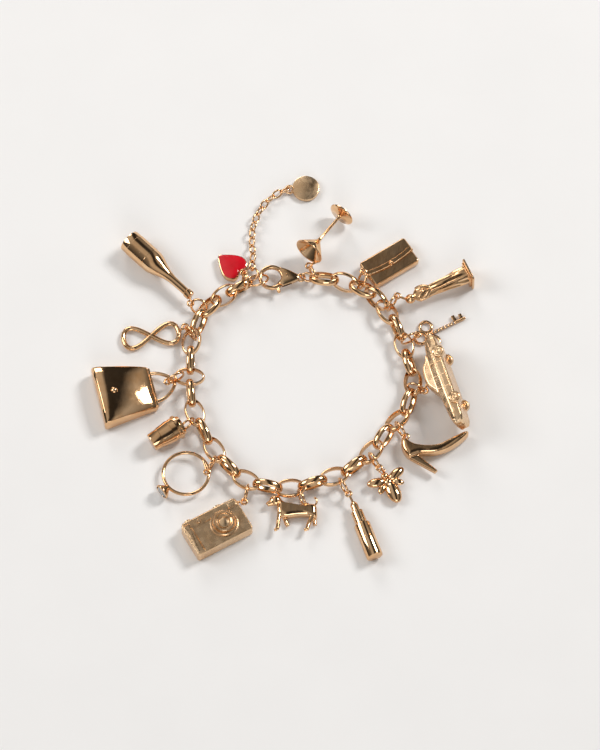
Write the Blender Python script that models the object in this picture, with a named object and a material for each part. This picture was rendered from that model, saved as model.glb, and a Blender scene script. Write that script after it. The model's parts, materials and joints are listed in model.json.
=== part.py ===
"""A charm bracelet lying closed on a table: belcher links, a lobster clasp, an extender and sixteen charms.

Sizes are in millimetres until a mesh is made. The floor is z = 0, +Z is up and the photograph looks along +Y.
"""

import math
from collections import namedtuple

import bmesh
import bpy
from mathutils import Matrix, Vector

MM = 0.001

# The belcher link: an oval of flat-backed, round-fronted band.
LINK_LENGTH = 8.2
LINK_WIDTH = 5.3
LINK_WALL = 0.55
LINK_BAND = 1.8
LINK_SEGMENTS = 14
LINK_LIFT = 0.05

# The closed chain's loop.
LOOP_RADIUS = 3.6585 * LINK_LENGTH
LOOP_X = 4.0
LOOP_Y = -4.0

# The jump rings that carry the charms, and the small eye soldered to each charm.
RING_RADIUS = 2.25
RING_WIRE = 0.32
RING_CLEARANCE = 0.15
RING_SEGMENTS = 10
WIRE_SIDES = 5
EYE_RADIUS = 0.75
EYE_WIRE = 0.3
EYE_BITE = 0.12
NECK = 0.32

# The clasp.
CLAW_INNER = 2.5
CLAW_OUTER = 3.6
CLASP_HEIGHT = 1.5
CLASP_EDGE = 0.2
CLASP_LENGTH = 7.2
CLASP_LOOP = 0.95
CLASP_LOOP_WIRE = 0.33
CLASP_X = -3.3
CLASP_Y = 24.5
CLASP_Z = 2.3
SLOT = 0.8
LEVER_PLATE = 0.6
LEVER_GAP = 0.1
PIVOT_X = 4.1
PIVOT_Y = 0.45
LEVER_REACH = 6.35
HUB_RADIUS = 0.9
HUB_HOLE = 0.5
PIN_RADIUS = 0.4
END_RING_RADIUS = 3.1
END_RING_WIRE = 0.3
CLASP_RING_LENGTH = 4.6
CLASP_RING_WIDTH = 3.4
CLASP_RING_WIRE = 0.3

# The extender and its tag.
SMALL_LENGTH = 3.3
SMALL_WIDTH = 2.3
SMALL_WIRE = 0.26
SMALL_BITE = 0.08
EXTENDER_RING_RADIUS = 1.75
EXTENDER_RING_WIRE = 0.28
TAG_RADIUS = 3.65
TAG_THICKNESS = 1.2
TAG_EYE = 1.0
TAG_EYE_HEIGHT = 0.98

# The charms.
MARTINI_LENGTH = 15.0
MARTINI_RIM = 8.2
MARTINI_FOOT = 7.1
CLUTCH_LENGTH = 14.0
CLUTCH_WIDTH = 7.85
CLUTCH_DEPTH = 2.9
FIGURE_LENGTH = 18.3
PLINTH_SIDE = 6.4
KEY_LENGTH = 11.0
KEY_BOW = 1.64
CAR_LENGTH = 27.0
CAR_WIDTH = 8.6
WHEEL_RADIUS = 1.65
WHEELBASE = 13.9
SHOE_LENGTH = 17.4
SHOE_THICKNESS = 4.0
BEE_LENGTH = 8.6
LIPSTICK_LENGTH = 16.8
DOG_LENGTH = 11.5
CAMERA_LENGTH = 16.5
CAMERA_WIDTH = 10.2
CAMERA_DEPTH = 4.2
LENS_RADIUS = 3.7
FINGER_RING = 12.9
FINGER_WIRE = 0.46
STONE_RADIUS = 1.9
CUP_LENGTH = 9.4
CUP_WIDE = 6.7
CUP_NARROW = 5.0
BAG_HEIGHT = 15.0
BAG_BASE = 17.4
BAG_TOP = 12.4
BAG_DEPTH = 6.0
INFINITY_LENGTH = 16.0
INFINITY_WIDTH = 7.1
INFINITY_WIRE = 0.65
BOTTLE_LENGTH = 23.4
BOTTLE_WIDTH = 6.5
HEART_LENGTH = 8.2
HEART_DEPTH = 1.9
ENAMEL_GAP = 0.06

Link = namedtuple("Link", "angle share turn roll lift nose")
LINKS = [
    Link(76.8, 0.96, 3, 37, -0.16, 1),
    Link(65.7, 0.986, -5, -46, 0.0, -2),
    Link(55.9, 1.003, 2, 30, 0.02, 1),
    Link(47.4, 1.006, 0, -60, 0.0, 0),
    Link(38.1, 0.985, 0, 13, -0.1, 0),
    Link(27.8, 0.975, 0, -85, 0.0, 0),
    Link(17.0, 0.964, 0, -5, -0.02, 0),
    Link(6.7, 0.972, 3, 66, 0.02, -1),
    Link(-4.6, 1.002, 5, -29, 0.14, 2),
    Link(-15.7, 0.995, 1, 64, -0.09, -5),
    Link(-27.4, 0.968, -10, -26, 0.04, -1),
    Link(-39.2, 0.954, 2, 65, 0.08, 1),
    Link(-50.1, 0.98, 5, -10, 0.19, 1),
    Link(-61.5, 1.003, 0, 87, -0.02, -7),
    Link(-72.9, 1.031, -5, -3, 0.06, 4),
    Link(-83.7, 1.057, 0, 92, 0.23, -8),
    Link(-94.1, 1.099, 2, 0, 0.0, 0),
    Link(-104.4, 1.11, 0, 88, 0.0, 2),
    Link(-114.5, 1.119, 0, -2, 0.12, -2),
    Link(-124.8, 1.079, 0, 87, -0.03, 0),
    Link(-135.65, 1.04, -4, -4, -0.07, -1),
    Link(-146.7, 1.001, 0, 86, -0.01, 2),
    Link(-158.0, 0.988, 0, -2, -0.0, 0),
    Link(-169.2, 0.969, -1, 86, 0.08, -2),
    Link(-178.6, 0.965, 87, -1, 0.01, 0),
    Link(-188.1, 0.966, 1, 94, 0.05, 2),
    Link(-198.9, 1.003, 2, 14, -0.24, 0),
    Link(-209.9, 1.021, 2, -67, -0.01, 4),
    Link(-220.0, 1.031, 2, 37, -0.02, -5),
    Link(-229.3, 1.015, -1, -34, 0.01, 2),
    Link(-237.921, 0.999, -0.82, -96.2, 0.0, 0.2),
]

# One row a charm's jump ring: the link it grips, how far along, how its centre rises from the link's
# wall, the way its open side points off the outward direction, its lean and its dip towards the charm.
Hang = namedtuple("Hang", "link along rise yaw lean dip")
HANGS = {
    "martini_glass": Hang(1, -0.8, 92, -1, 2, -15),
    "clutch": Hang(3, -0.37, 55, 6, -28, -11),
    "figure": Hang(5, -0.35, 69, 11, 1, -3),
    "key": Hang(7, -0.33, 123, 0, 0, 2),
    "car": Hang(9, 0.65, -165, 3, 1, -2),
    "shoe": Hang(11, 0.36, -57, 1, 1, -1),
    "bee": Hang(13, 0.48, 68, 0, 0, 2),
    "lipstick": Hang(15, -0.31, 2, 0, 0, 0),
    "dog": Hang(17, -0.62, -5, -5, 1, 4),
    "camera": Hang(19, -0.43, 2, 0, 2, 1),
    "ring": Hang(21, -0.71, -17, 1, 4, 2),
    "cup": Hang(23, -0.56, -17, -1, 1, 0),
    "handbag": Hang(25, 0.95, 95, 1, 0, 0),
    "infinity": Hang(27, 0.83, 163, 0, 2, 1),
    "bottle": Hang(29, -0.39, 55, 1, -32, -3),
    "heart": Hang(31, 0.51, -15, 2, -15, 13),
}

# Where each charm lies: its own X runs away from its eye, and roll turns it about that.
Spot = namedtuple("Spot", "x y z heading pitch roll")
SPOTS = {
    "martini_glass": Spot(6.5, 30.7, 5.2, 53.5, -6, 0),
    "clutch": Spot(28.0, 29.0, 0.03, 33, 0, 0),
    "figure": Spot(32.5, 17.5, 3.25, 25, 0, 0),
    "key": Spot(38.2, 8.6, 0.5, 26.9, 0, 0),
    "car": Spot(38.4, 5.0, 6.0, -72.4, 0, 19.5),
    "shoe": Spot(31.0, -23.0, 0.03, 0, 0, 0),
    "bee": Spot(26.4, -32.9, 1.45, -63.4, 0, 0),
    "lipstick": Spot(18.0, -40.6, 2.25, -69.8, 0, 0),
    "dog": Spot(-2.0, -39.9, 0.03, 0, 0, 0),
    "camera": Spot(-17.6, -48.4, 0.03, 29.4, 0, 0),
    "ring": Spot(-25.7, -32.4, 2.1, -140, 0, 0),
    "cup": Spot(-26.9, -18.9, 3.55, -147.9, -4.5, 0),
    "handbag": Spot(-34.5, -7.4, 0.03, -166.3, 0, 0),
    "infinity": Spot(-35.2, 8.1, 0.85, -171.9, 0, 0),
    "bottle": Spot(-24.7, 18.6, 3.35, 135.2, 0, 0),
    "heart": Spot(-11.9, 26.7, 0.03, 140.3, 0, 0),
}

END_RING_SPOT = Spot(-7.308, 23.622, 2.502, 13.28, 3.722, -39.852)
EXTENDER_RING_SPOT = Spot(-8.64, 26.24, 0.86, 79.6, 15.3, -13.7)
CLASP_RING_SPOT = Spot(CLASP_LENGTH - 0.75, 24.56, 2.48, -5, 0, 68)
TAG_SPOT = Spot(5.75, 51.63, 0.05, 5.7, 0, 0)

# Each charm's eye is joined to this point of it.
NECK_ENDS = {
    "martini_glass": (0.3, -3.0, -2.2),
    "clutch": (0.4 - CLUTCH_LENGTH / 2, -2.0, 1.6),
    "figure": (0.2, 0.0, 0.0),
    "key": (-3.9, 0.1, 0.2),
    "car": (10.4, -4.0, 0.0),
    "shoe": (0.4, 0.0, 2.0),
    "bee": (-0.6, 0.3, 0.2),
    "lipstick": (0.3, 0.0, 0.0),
    "dog": (3.5, -1.9, 1.6),
    "camera": (7.0, 4.7, 2.2),
    "ring": (-5.9, 0.0, 0.1),
    "cup": (0.3, 0.0, 0.0),
    "handbag": (-5.9, 0.0, 2.0),
    "infinity": (-7.6, 0.0, 0.3),
    "bottle": (0.3, 0.0, 0.0),
    "heart": (0.2, 0.0, 0.9),
}

# The extender's route, from the end ring to the tag, as (x, y).
EXTENDER = [
    (-8.5, 28.6),
    (-8.5, 30.6),
    (-8.2, 32.9),
    (-8.5, 35.2),
    (-8.7, 37.5),
    (-8.5, 39.8),
    (-7.9, 42.0),
    (-7.0, 44.1),
    (-5.9, 46.1),
    (-4.5, 47.9),
    (-2.8, 49.4),
    (-0.9, 50.5),
    (1.0, 51.3),
]

# Outlines, as shares of the charm's named length.
SHOE_SIDE = [
    (0.000, 0.030),
    (0.060, 0.024),
    (0.180, -0.058),
    (0.370, -0.088),
    (0.545, -0.070),
    (0.655, -0.017),
    (0.830, 0.080),
    (0.970, 0.142),
    (1.000, 0.092),
    (0.860, -0.046),
    (0.680, -0.166),
    (0.490, -0.224),
    (0.300, -0.230),
    (0.200, -0.262),
    (0.095, -0.288),
    (0.010, -0.172),
    (-0.018, -0.058),
]
SHOE_OPENING = [
    (0.045, 0.090),
    (0.050, -0.105),
    (0.200, -0.175),
    (0.460, -0.170),
    (0.600, -0.118),
    (0.625, 0.060),
]
SHOE_HEEL = [
    (0.052, -0.200),
    (0.240, -0.240),
    (0.535, -0.495),
    (0.495, -0.535),
    (0.115, -0.312),
]
DOG_BODY = [
    (0.060, 0.010),
    (0.230, -0.080),
    (0.480, -0.130),
    (0.780, -0.105),
    (0.905, -0.150),
    (0.930, -0.330),
    (0.900, -0.470),
    (0.700, -0.400),
    (0.420, -0.410),
    (0.230, -0.440),
    (0.080, -0.400),
    (0.010, -0.240),
]
CAR_CABIN = [
    (0.195, -0.060),
    (0.250, -0.115),
    (0.310, -0.158),
    (0.400, -0.172),
    (0.500, -0.166),
    (0.575, -0.125),
    (0.640, -0.060),
]
HEART_RIM = [
    (0.000, 0.000),
    (-0.090, 0.130),
    (-0.085, 0.300),
    (0.050, 0.430),
    (0.250, 0.460),
    (0.480, 0.360),
    (0.700, 0.200),
    (0.890, 0.000),
    (0.700, -0.200),
    (0.480, -0.360),
    (0.250, -0.460),
    (0.050, -0.430),
    (-0.085, -0.300),
    (-0.090, -0.130),
]
WING = [
    (0.00, 0.00),
    (0.25, 0.16),
    (0.62, 0.22),
    (0.92, 0.13),
    (1.00, 0.00),
    (0.92, -0.12),
    (0.62, -0.17),
    (0.25, -0.12),
]


def clear_scene():
    for old in list(bpy.data.objects):
        bpy.data.objects.remove(old, do_unlink=True)


def material(name, colour, metallic, roughness):
    made = bpy.data.materials.new(name)
    made.use_nodes = True
    shader = made.node_tree.nodes["Principled BSDF"]
    shader.inputs["Base Color"].default_value = (*colour, 1)
    shader.inputs["Metallic"].default_value = metallic
    shader.inputs["Roughness"].default_value = roughness
    return made


# A shape is a pair, its points in millimetres and its faces. These make, move and join shapes.


def moved(shape, matrix):
    points, faces = shape
    return [matrix @ Vector(point) for point in points], faces


def place(x=0.0, y=0.0, z=0.0, heading=0.0, pitch=0.0, roll=0.0):
    """Turned about its own X by roll, then nose up by pitch, then to its heading, and put at x, y, z."""
    return (
        Matrix.Translation((x, y, z))
        @ Matrix.Rotation(math.radians(heading), 4, "Z")
        @ Matrix.Rotation(math.radians(-pitch), 4, "Y")
        @ Matrix.Rotation(math.radians(roll), 4, "X")
    )


def placed(shape, x=0.0, y=0.0, z=0.0, heading=0.0, pitch=0.0, roll=0.0):
    return moved(shape, place(x, y, z, heading, pitch, roll))


def loft(sections):
    """A closed solid through sections that have the same number of points."""
    count = len(sections[0])
    points = [Vector(point) for section in sections for point in section]
    faces = [list(range(count))]
    for level in range(len(sections) - 1):
        low = level * count
        for i in range(count):
            j = (i + 1) % count
            faces.append([low + i, low + j, low + count + j, low + count + i])
    faces.append(list(range(len(points) - count, len(points))))
    return points, faces


def closed_sweep(sections):
    """A closed ring of sections, the last joined to the first."""
    count = len(sections[0])
    points = [Vector(point) for section in sections for point in section]
    faces = []
    for level in range(len(sections)):
        low = level * count
        high = ((level + 1) % len(sections)) * count
        for i in range(count):
            j = (i + 1) % count
            faces.append([low + i, low + j, high + j, high + i])
    return points, faces


def band_ring(length, width, section, segments):
    """An oval ring in the XY plane: its hole's axes are length and width, its section is (out, up)."""
    sections = []
    for i in range(segments):
        t = 2 * math.pi * (i + 0.5) / segments
        along, across = length / 2, width / 2
        normal = Vector((across * math.cos(t), along * math.sin(t), 0)).normalized()
        foot = Vector((along * math.cos(t), across * math.sin(t), 0))
        sections.append([foot + normal * out + Vector((0, 0, up)) for out, up in section])
    return closed_sweep(sections)


def wire_section(wire, sides=WIRE_SIDES):
    """A round wire's section, measured out from the ring's hole."""
    turns = [2 * math.pi * (i + 0.5) / sides for i in range(sides)]
    return [(wire + wire * math.cos(turn), wire * math.sin(turn)) for turn in turns]


def wire_ring(radius, wire, segments=RING_SEGMENTS, sides=WIRE_SIDES):
    """A round wire ring in the XY plane, radius being to the wire's centre."""
    hole = 2 * (radius - wire)
    return band_ring(hole, hole, wire_section(wire, sides), segments)


def oval_ring(length, width, wire, segments=RING_SEGMENTS):
    """An oval wire ring in the XY plane, length and width being outside sizes."""
    return band_ring(length - 4 * wire, width - 4 * wire, wire_section(wire), segments)


def revolve(profile, segments=12):
    """A solid turned about X from rows of (x, radius) that start and end on the axis."""
    points, faces, rows = [], [], []
    for x, radius in profile:
        if radius == 0:
            rows.append([len(points)] * segments)
            points.append(Vector((x, 0, 0)))
            continue
        rows.append([len(points) + i for i in range(segments)])
        for i in range(segments):
            turn = 2 * math.pi * (i + 0.5) / segments
            points.append(Vector((x, radius * math.cos(turn), radius * math.sin(turn))))
    for first, second in zip(rows, rows[1:]):
        for i in range(segments):
            j = (i + 1) % segments
            faces.append(list(dict.fromkeys([first[i], first[j], second[j], second[i]])))
    return points, faces


def upright(shape, x=0.0, y=0.0, z=0.0):
    """A shape turned about X stood on end, so that its X points up."""
    turn = Matrix.Translation((x, y, z)) @ Matrix.Rotation(math.radians(-90), 4, "Y")
    return moved(shape, turn)


def button(radius, low, high, x=0.0, y=0.0, segments=12, edge=0.0):
    """A short round post from low to high."""
    profile = [(low, 0), (low, radius), (high - edge, radius), (high, radius - edge), (high, 0)]
    if not edge:
        del profile[2]
    return upright(revolve(profile, segments), x, y)


def signed_area(outline):
    return sum(a[0] * b[1] - b[0] * a[1] for a, b in zip(outline, outline[1:] + outline[:1])) / 2


def grown(outline, by):
    """A flat outline moved outwards by a distance, corner by corner."""
    sign = 1 if signed_area(outline) > 0 else -1
    rim = []
    for i, point in enumerate(outline):
        here = Vector(point)
        before = (here - Vector(outline[i - 1])).normalized()
        after = (Vector(outline[(i + 1) % len(outline)]) - here).normalized()
        side = Vector((before.y + after.y, -before.x - after.x)).normalized()
        spread = max(0.5, side.dot(Vector((before.y, -before.x))))
        rim.append(here + side * sign * by / spread)
    return rim


def slab(outline, levels):
    """An outline in the XY plane made solid through rows of (height, growth)."""
    sections = []
    for z, by in levels:
        rim = grown(outline, by) if by else [Vector(point) for point in outline]
        sections.append([Vector((point.x, point.y, z)) for point in rim])
    return loft(sections)


def box(x0, x1, y0, y1, z0, z1):
    return slab([(x0, y0), (x1, y0), (x1, y1), (x0, y1)], [(z0, 0), (z1, 0)])


def soft_rectangle(length, width, corner, x=0.0, y=0.0):
    """A rectangle's outline with each corner cut to a short slope."""
    a, b = length / 2, width / 2
    return [
        (x + a, y - b + corner),
        (x + a, y + b - corner),
        (x + a - corner, y + b),
        (x - a + corner, y + b),
        (x - a, y + b - corner),
        (x - a, y - b + corner),
        (x - a + corner, y - b),
        (x + a - corner, y - b),
    ]


def ball(radius, x=0.0, y=0.0, z=0.0, segments=8, steps=4, stretch=(1.0, 1.0, 1.0)):
    profile = []
    for i in range(steps + 1):
        turn = math.pi * i / steps
        size = 0 if i in (0, steps) else radius * math.sin(turn)
        profile.append((-radius * math.cos(turn), size))
    scale = Matrix.Diagonal((*stretch, 1.0))
    return moved(revolve(profile, segments), Matrix.Translation((x, y, z)) @ scale)


def rod(start, end, radius, end_radius=None, sides=6):
    """A straight round bar between two points."""
    start, end = Vector(start), Vector(end)
    way = (end - start).normalized()
    across = way.orthogonal().normalized()
    other = way.cross(across)
    sections = []
    for centre, size in ((start, radius), (end, radius if end_radius is None else end_radius)):
        turns = [2 * math.pi * i / sides for i in range(sides)]
        sections.append([centre + (across * math.cos(t) + other * math.sin(t)) * size for t in turns])
    return loft(sections)


def tube(path, radius, closed=False, sides=6):
    """A round bar along a path, mitred at each point. The path never runs straight up."""
    points = [Vector(point) for point in path]
    count = len(points)
    sections = []
    for i, here in enumerate(points):
        before = points[i - 1] if closed or i > 0 else here
        after = points[(i + 1) % count] if closed or i < count - 1 else here
        way = (after - before).normalized()
        side = way.cross(Vector((0, 0, 1))).normalized()
        up = side.cross(way)
        turns = [2 * math.pi * (k + 0.5) / sides for k in range(sides)]
        sections.append([here + (side * math.cos(t) + up * math.sin(t)) * radius for t in turns])
    return closed_sweep(sections) if closed else loft(sections)


def arc(radius, start, end, steps, x=0.0, y=0.0):
    """Points round a circle from one angle to another, in degrees."""
    turns = [math.radians(start + (end - start) * i / steps) for i in range(steps + 1)]
    return [(x + radius * math.cos(t), y + radius * math.sin(t)) for t in turns]


def scaled(outline, size):
    return [(x * size, y * size) for x, y in outline]


def oval_section(x, half_y, half_z, y=0.0, z=0.0, sides=10, ripple=0.0):
    """A cross-section at x for a loft along X, rippled like folded cloth if asked."""
    section = []
    for i in range(sides):
        turn = 2 * math.pi * (i + 0.5) / sides
        size = 1 + (ripple if i % 2 else -ripple)
        section.append(Vector((x, y + half_y * size * math.cos(turn), z + half_z * size * math.sin(turn))))
    return section


def object_of(name, shape, look, origin=(0, 0, 0)):
    points, faces = shape
    origin = Vector(origin)
    mesh = bpy.data.meshes.new(name)
    mesh.from_pydata([tuple((Vector(point) - origin) * MM) for point in points], [], faces)
    mesh.materials.append(look)
    made = bpy.data.objects.new(name, mesh)
    made.location = origin * MM
    bpy.context.scene.collection.objects.link(made)
    shell = bmesh.new()
    shell.from_mesh(mesh)
    bmesh.ops.recalc_face_normals(shell, faces=shell.faces)
    shell.to_mesh(mesh)
    shell.free()
    return made


def combined(name, look, steps, origin=(0, 0, 0)):
    """One solid from rows of (operation, shape), the first of them the shape that the others join or cut."""
    made = object_of(name, steps[0][1], look, origin)
    helpers = []
    for operation, shape in steps[1:]:
        helper = object_of(name + "_helper", shape, look)
        step = made.modifiers.new("step", "BOOLEAN")
        step.operation = operation
        step.solver = "EXACT"
        step.object = helper
        helpers.append(helper)
    bpy.context.view_layer.update()
    graph = bpy.context.evaluated_depsgraph_get()
    baked = bpy.data.meshes.new_from_object(made.evaluated_get(graph))
    made.modifiers.clear()
    made.data = baked
    baked.name = name
    for helper in helpers:
        bpy.data.objects.remove(helper, do_unlink=True)
    return made


def joined(*shapes):
    return [("UNION", shape) for shape in shapes]


def cut(*shapes):
    return [("DIFFERENCE", shape) for shape in shapes]


def shade(made, angle=40):
    made.data.shade_smooth()
    made.data.set_sharp_from_angle(angle=math.radians(angle))


# The chain.


def loop_point(angle, share):
    turn = math.radians(angle)
    return Vector((LOOP_X + LOOP_RADIUS * share * math.cos(turn), LOOP_Y + LOOP_RADIUS * share * math.sin(turn), 0))


def link_frames():
    """Each link's place: its X runs on along the chain and its Y points out of the loop."""
    route = [loop_point(88.0, 0.965)]
    route += [loop_point(row.angle, row.share) for row in LINKS]
    route += [loop_point(-247.5, 1.0)]
    frames = []
    for i, row in enumerate(LINKS):
        way = route[i + 2] - route[i]
        heading = math.degrees(math.atan2(way.y, way.x)) + row.turn
        centre = route[i + 1]
        height = LINK_WIDTH / 2 + LINK_LIFT + row.lift
        frames.append(place(centre.x, centre.y, height, heading, row.nose, -row.roll))
    return frames


def link_shape():
    half = LINK_BAND / 2
    section = [(0, -half), (LINK_WALL * 0.65, -half), (LINK_WALL, 0), (LINK_WALL * 0.65, half), (0, half)]
    hole_length = LINK_LENGTH - 2 * LINK_WALL
    hole_width = LINK_WIDTH - 2 * LINK_WALL
    return band_ring(hole_length, hole_width, section, LINK_SEGMENTS)


def make_links(look, frames):
    shape = link_shape()
    for i, frame in enumerate(frames):
        shade(object_of(f"link_{i + 1:02d}", moved(shape, frame), look))


def ring_frame(hang, frames):
    """A charm's jump ring round a link's wall: its X points to the charm."""
    frame = frames[hang.link - 1]
    along = hang.along * (LINK_LENGTH / 2 - LINK_WALL)
    half_width = LINK_WIDTH / 2 - LINK_WALL
    out = half_width * math.sqrt(1 - hang.along**2)
    slope = Vector((half_width**2 * along, (LINK_LENGTH / 2 - LINK_WALL) ** 2 * out, 0)).normalized()
    wall = Vector((along, out, 0)) + slope * LINK_WALL / 2
    outward = frame.to_3x3() @ slope
    heading = math.degrees(math.atan2(frame[1][0], frame[0][0]))
    flat = heading + math.degrees(math.atan2(slope.y, slope.x)) + hang.yaw
    rise = math.radians(hang.rise)
    turn = math.radians(flat)
    way = Vector((math.cos(turn) * math.cos(rise), math.sin(turn) * math.cos(rise), math.sin(rise)))
    lie = way.dot(outward)
    spread = LINK_WALL / 2 * abs(lie) + LINK_BAND / 2 * math.sqrt(max(0, 1 - lie**2))
    hole = RING_RADIUS - RING_WIRE - RING_CLEARANCE
    room = hole**2 - (LINK_WALL / 2) ** 2 - (LINK_BAND / 2) ** 2
    reach = math.sqrt(spread**2 + room) - spread
    centre = frame @ wall + way * reach
    return place(centre.x, centre.y, centre.z, flat, -hang.dip, 90 - hang.lean)


def eye_point(frame):
    """Where the charm's own eye is, on the far side of its jump ring."""
    return frame @ Vector((RING_RADIUS + EYE_RADIUS - EYE_WIRE - RING_WIRE + EYE_BITE, 0, 0))


def hung(name, frames):
    """The charm's jump ring, its eye and the neck that joins them to it."""
    frame = ring_frame(HANGS[name], frames)
    eye = eye_point(frame)
    spot = place(*SPOTS[name])
    end = spot @ Vector(NECK_ENDS[name])
    way = (end - eye).normalized()
    heading = math.degrees(math.atan2(way.y, way.x))
    start = eye + Vector((way.x, way.y, 0)).normalized() * EYE_RADIUS
    return [
        moved(wire_ring(RING_RADIUS, RING_WIRE), frame),
        placed(wire_ring(EYE_RADIUS, EYE_WIRE, 6), eye.x, eye.y, eye.z, heading),
        rod(start, end, NECK, sides=5),
    ]


# The charms. Each gives rows of (operation, shape) in its own frame.

def martini_glass():
    rim, foot, end = MARTINI_RIM / 2, MARTINI_FOOT / 2, MARTINI_LENGTH
    depth = 0.29 * end
    profile = [
        (depth - 0.75, 0),
        (0.12, rim - 0.4),
        (0.0, rim - 0.2),
        (0.12, rim),
        (depth, 0.62),
        (depth + 0.8, 0.42),
        (end - 1.7, 0.42),
        (end - 1.0, 0.85),
        (end - 0.55, foot - 0.1),
        (end - 0.2, foot),
        (end, foot - 0.3),
        (end, 0),
    ]
    return joined(revolve(profile, 11))


def clutch():
    depth = CLUTCH_DEPTH
    body = soft_rectangle(CLUTCH_LENGTH, CLUTCH_WIDTH, 0.9)
    a, b = CLUTCH_LENGTH / 2 + 0.15, CLUTCH_WIDTH / 2 + 0.12
    flap = [
        (a - 0.8, b),
        (-a + 0.8, b),
        (-a, b - 0.9),
        (-a, -0.05 * CLUTCH_WIDTH),
        (-0.75 * a, -0.10 * CLUTCH_WIDTH),
        (-0.35 * a, -0.145 * CLUTCH_WIDTH),
        (0.0, -0.16 * CLUTCH_WIDTH),
        (0.35 * a, -0.145 * CLUTCH_WIDTH),
        (0.75 * a, -0.10 * CLUTCH_WIDTH),
        (a, -0.05 * CLUTCH_WIDTH),
        (a, b - 0.9),
    ]
    return joined(
        slab(body, [(0, -0.6), (0.5, 0), (depth - 0.7, 0), (depth - 0.25, -0.45)]),
        slab(flap, [(0.9, 0.0), (depth - 0.45, 0.0), (depth, -0.5)]),
        button(0.65, depth - 0.6, depth + 0.3, 0.1, -0.6, 8, 0.2),
    )


def figure():
    end = FIGURE_LENGTH
    robe = [
        oval_section(2.0, 0.8, 0.8),
        oval_section(2.9, 1.9, 1.2),
        oval_section(4.4, 2.0, 1.3, ripple=0.03),
        oval_section(7.0, 1.6, 1.25, ripple=0.05),
        oval_section(10.5, 1.85, 1.5, ripple=0.07),
        oval_section(14.5, 2.2, 1.8, ripple=0.08),
        oval_section(end - 0.9, 2.5, 2.1, ripple=0.08),
    ]
    half = PLINTH_SIDE / 2
    return joined(
        loft(robe),
        ball(1.5, 1.2, 0, -0.25, 8, 4, (1.05, 1.0, 0.9)),
        ball(1.1, 1.3, 0, 0.45, 6, 3),
        rod((2.0, 0, 0), (0.5, 0, 0), 0.6),
        rod((3.4, 1.5, 0.5), (6.6, 0.1, 1.5), 0.62, 0.5),
        rod((3.4, -1.5, 0.5), (6.7, -0.1, 1.45), 0.62, 0.5),
        box(end - 1.1, end - 0.6, -0.8 * half, 0.8 * half, -0.8 * half, 0.8 * half),
        box(end - 0.7, end, -half, half, -half, half),
    )


def key():
    bow = KEY_BOW + 0.68
    steps = joined(
        moved(wire_ring(KEY_BOW, 0.36, 9), Matrix.Translation((-bow, 0, 0))),
        moved(wire_ring(KEY_BOW, 0.36, 9), Matrix.Translation((bow * 0.15, bow, 0))),
        moved(wire_ring(KEY_BOW, 0.36, 9), Matrix.Translation((bow * 0.15, -bow, 0))),
        ball(0.72, 0, 0, 0, 7, 3, (1, 1, 0.65)),
        rod((0.1, 0.03, 0.02), (KEY_LENGTH, 0.03, 0.02), 0.45),
        box(0.70 * KEY_LENGTH, 0.78 * KEY_LENGTH, 0.1, 2.1, -0.35, 0.35),
        box(0.87 * KEY_LENGTH, 0.95 * KEY_LENGTH, 0.1, 1.7, -0.35, 0.35),
    )
    for i in range(3):
        steps += joined(ball(0.5, 1.6 + 2.1 * i, 0, 0.33, 5, 2))
    return steps


def car_section(share, half, roof, under):
    """A rounded cross-section of the car's body, its corners eased."""
    x, ease = share * CAR_LENGTH, 0.8
    return [
        Vector((x, roof + ease, -half)),
        Vector((x, roof, -half + ease * 1.3)),
        Vector((x, roof, half - ease * 1.3)),
        Vector((x, roof + ease, half)),
        Vector((x, under - ease, half)),
        Vector((x, under, half - ease)),
        Vector((x, under, -half + ease)),
        Vector((x, under - ease, -half)),
    ]


def car():
    half, end = CAR_WIDTH / 2, CAR_LENGTH
    rear = 0.23 * end
    body = [
        car_section(0.000, 0.60 * half, -0.7, 1.2),
        car_section(0.060, 0.78 * half, -1.5, 1.9),
        car_section(0.230, 0.97 * half, -2.1, 2.2),
        car_section(0.600, 1.00 * half, -2.2, 2.2),
        car_section(0.780, 0.98 * half, -1.9, 2.2),
        car_section(0.930, 0.90 * half, -1.5, 2.0),
        car_section(0.985, 0.75 * half, -0.9, 1.4),
    ]
    cabin = scaled(CAR_CABIN, end)
    wide = 0.78 * half
    steps = joined(
        loft(body),
        slab(cabin, [(-wide, -0.7), (-wide * 0.6, 0), (wide * 0.6, 0), (wide, -0.7)]),
        rod((0.975 * end, 0.9, -0.86 * half), (0.975 * end, 0.9, 0.86 * half), 0.55, sides=5),
        rod((0.025 * end, 1.0, -0.66 * half), (0.025 * end, 1.0, 0.66 * half), 0.5, sides=5),
        box(0.96 * end, 0.997 * end, -0.55, 0.55, -0.45 * half, 0.45 * half),
    )
    for side in (-1, 1):
        steps += joined(ball(0.8, 0.955 * end, -0.35, side * 0.68 * half, 6, 3))
        for x in (rear, rear + WHEELBASE):
            wheel = revolve([(-0.7, 0), (-0.7, WHEEL_RADIUS), (0.7, WHEEL_RADIUS), (0.7, 0)], 9)
            turn = Matrix.Translation((x, WHEEL_RADIUS, side * (half - 0.35))) @ Matrix.Rotation(math.radians(90), 4, "Y")
            steps += joined(moved(wheel, turn))
            steps += joined(ball(2.4, x, 0.9, side * (half - 1.1), 6, 3, (1, 0.8, 0.5)))
    return steps


def shoe():
    thick = SHOE_THICKNESS
    side = scaled(SHOE_SIDE, SHOE_LENGTH)
    heel = scaled(SHOE_HEEL, SHOE_LENGTH)
    opening = scaled(SHOE_OPENING, SHOE_LENGTH)
    steps = joined(
        slab(side, [(0, -0.45), (0.7, 0), (thick - 0.7, 0), (thick, -0.45)]),
        slab(heel, [(thick * 0.28, -0.1), (thick * 0.4, 0), (thick * 0.6, 0), (thick * 0.72, -0.1)]),
    )
    return steps + cut(slab(opening, [(thick * 0.22, 0), (thick * 0.78, 0)]))


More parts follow.
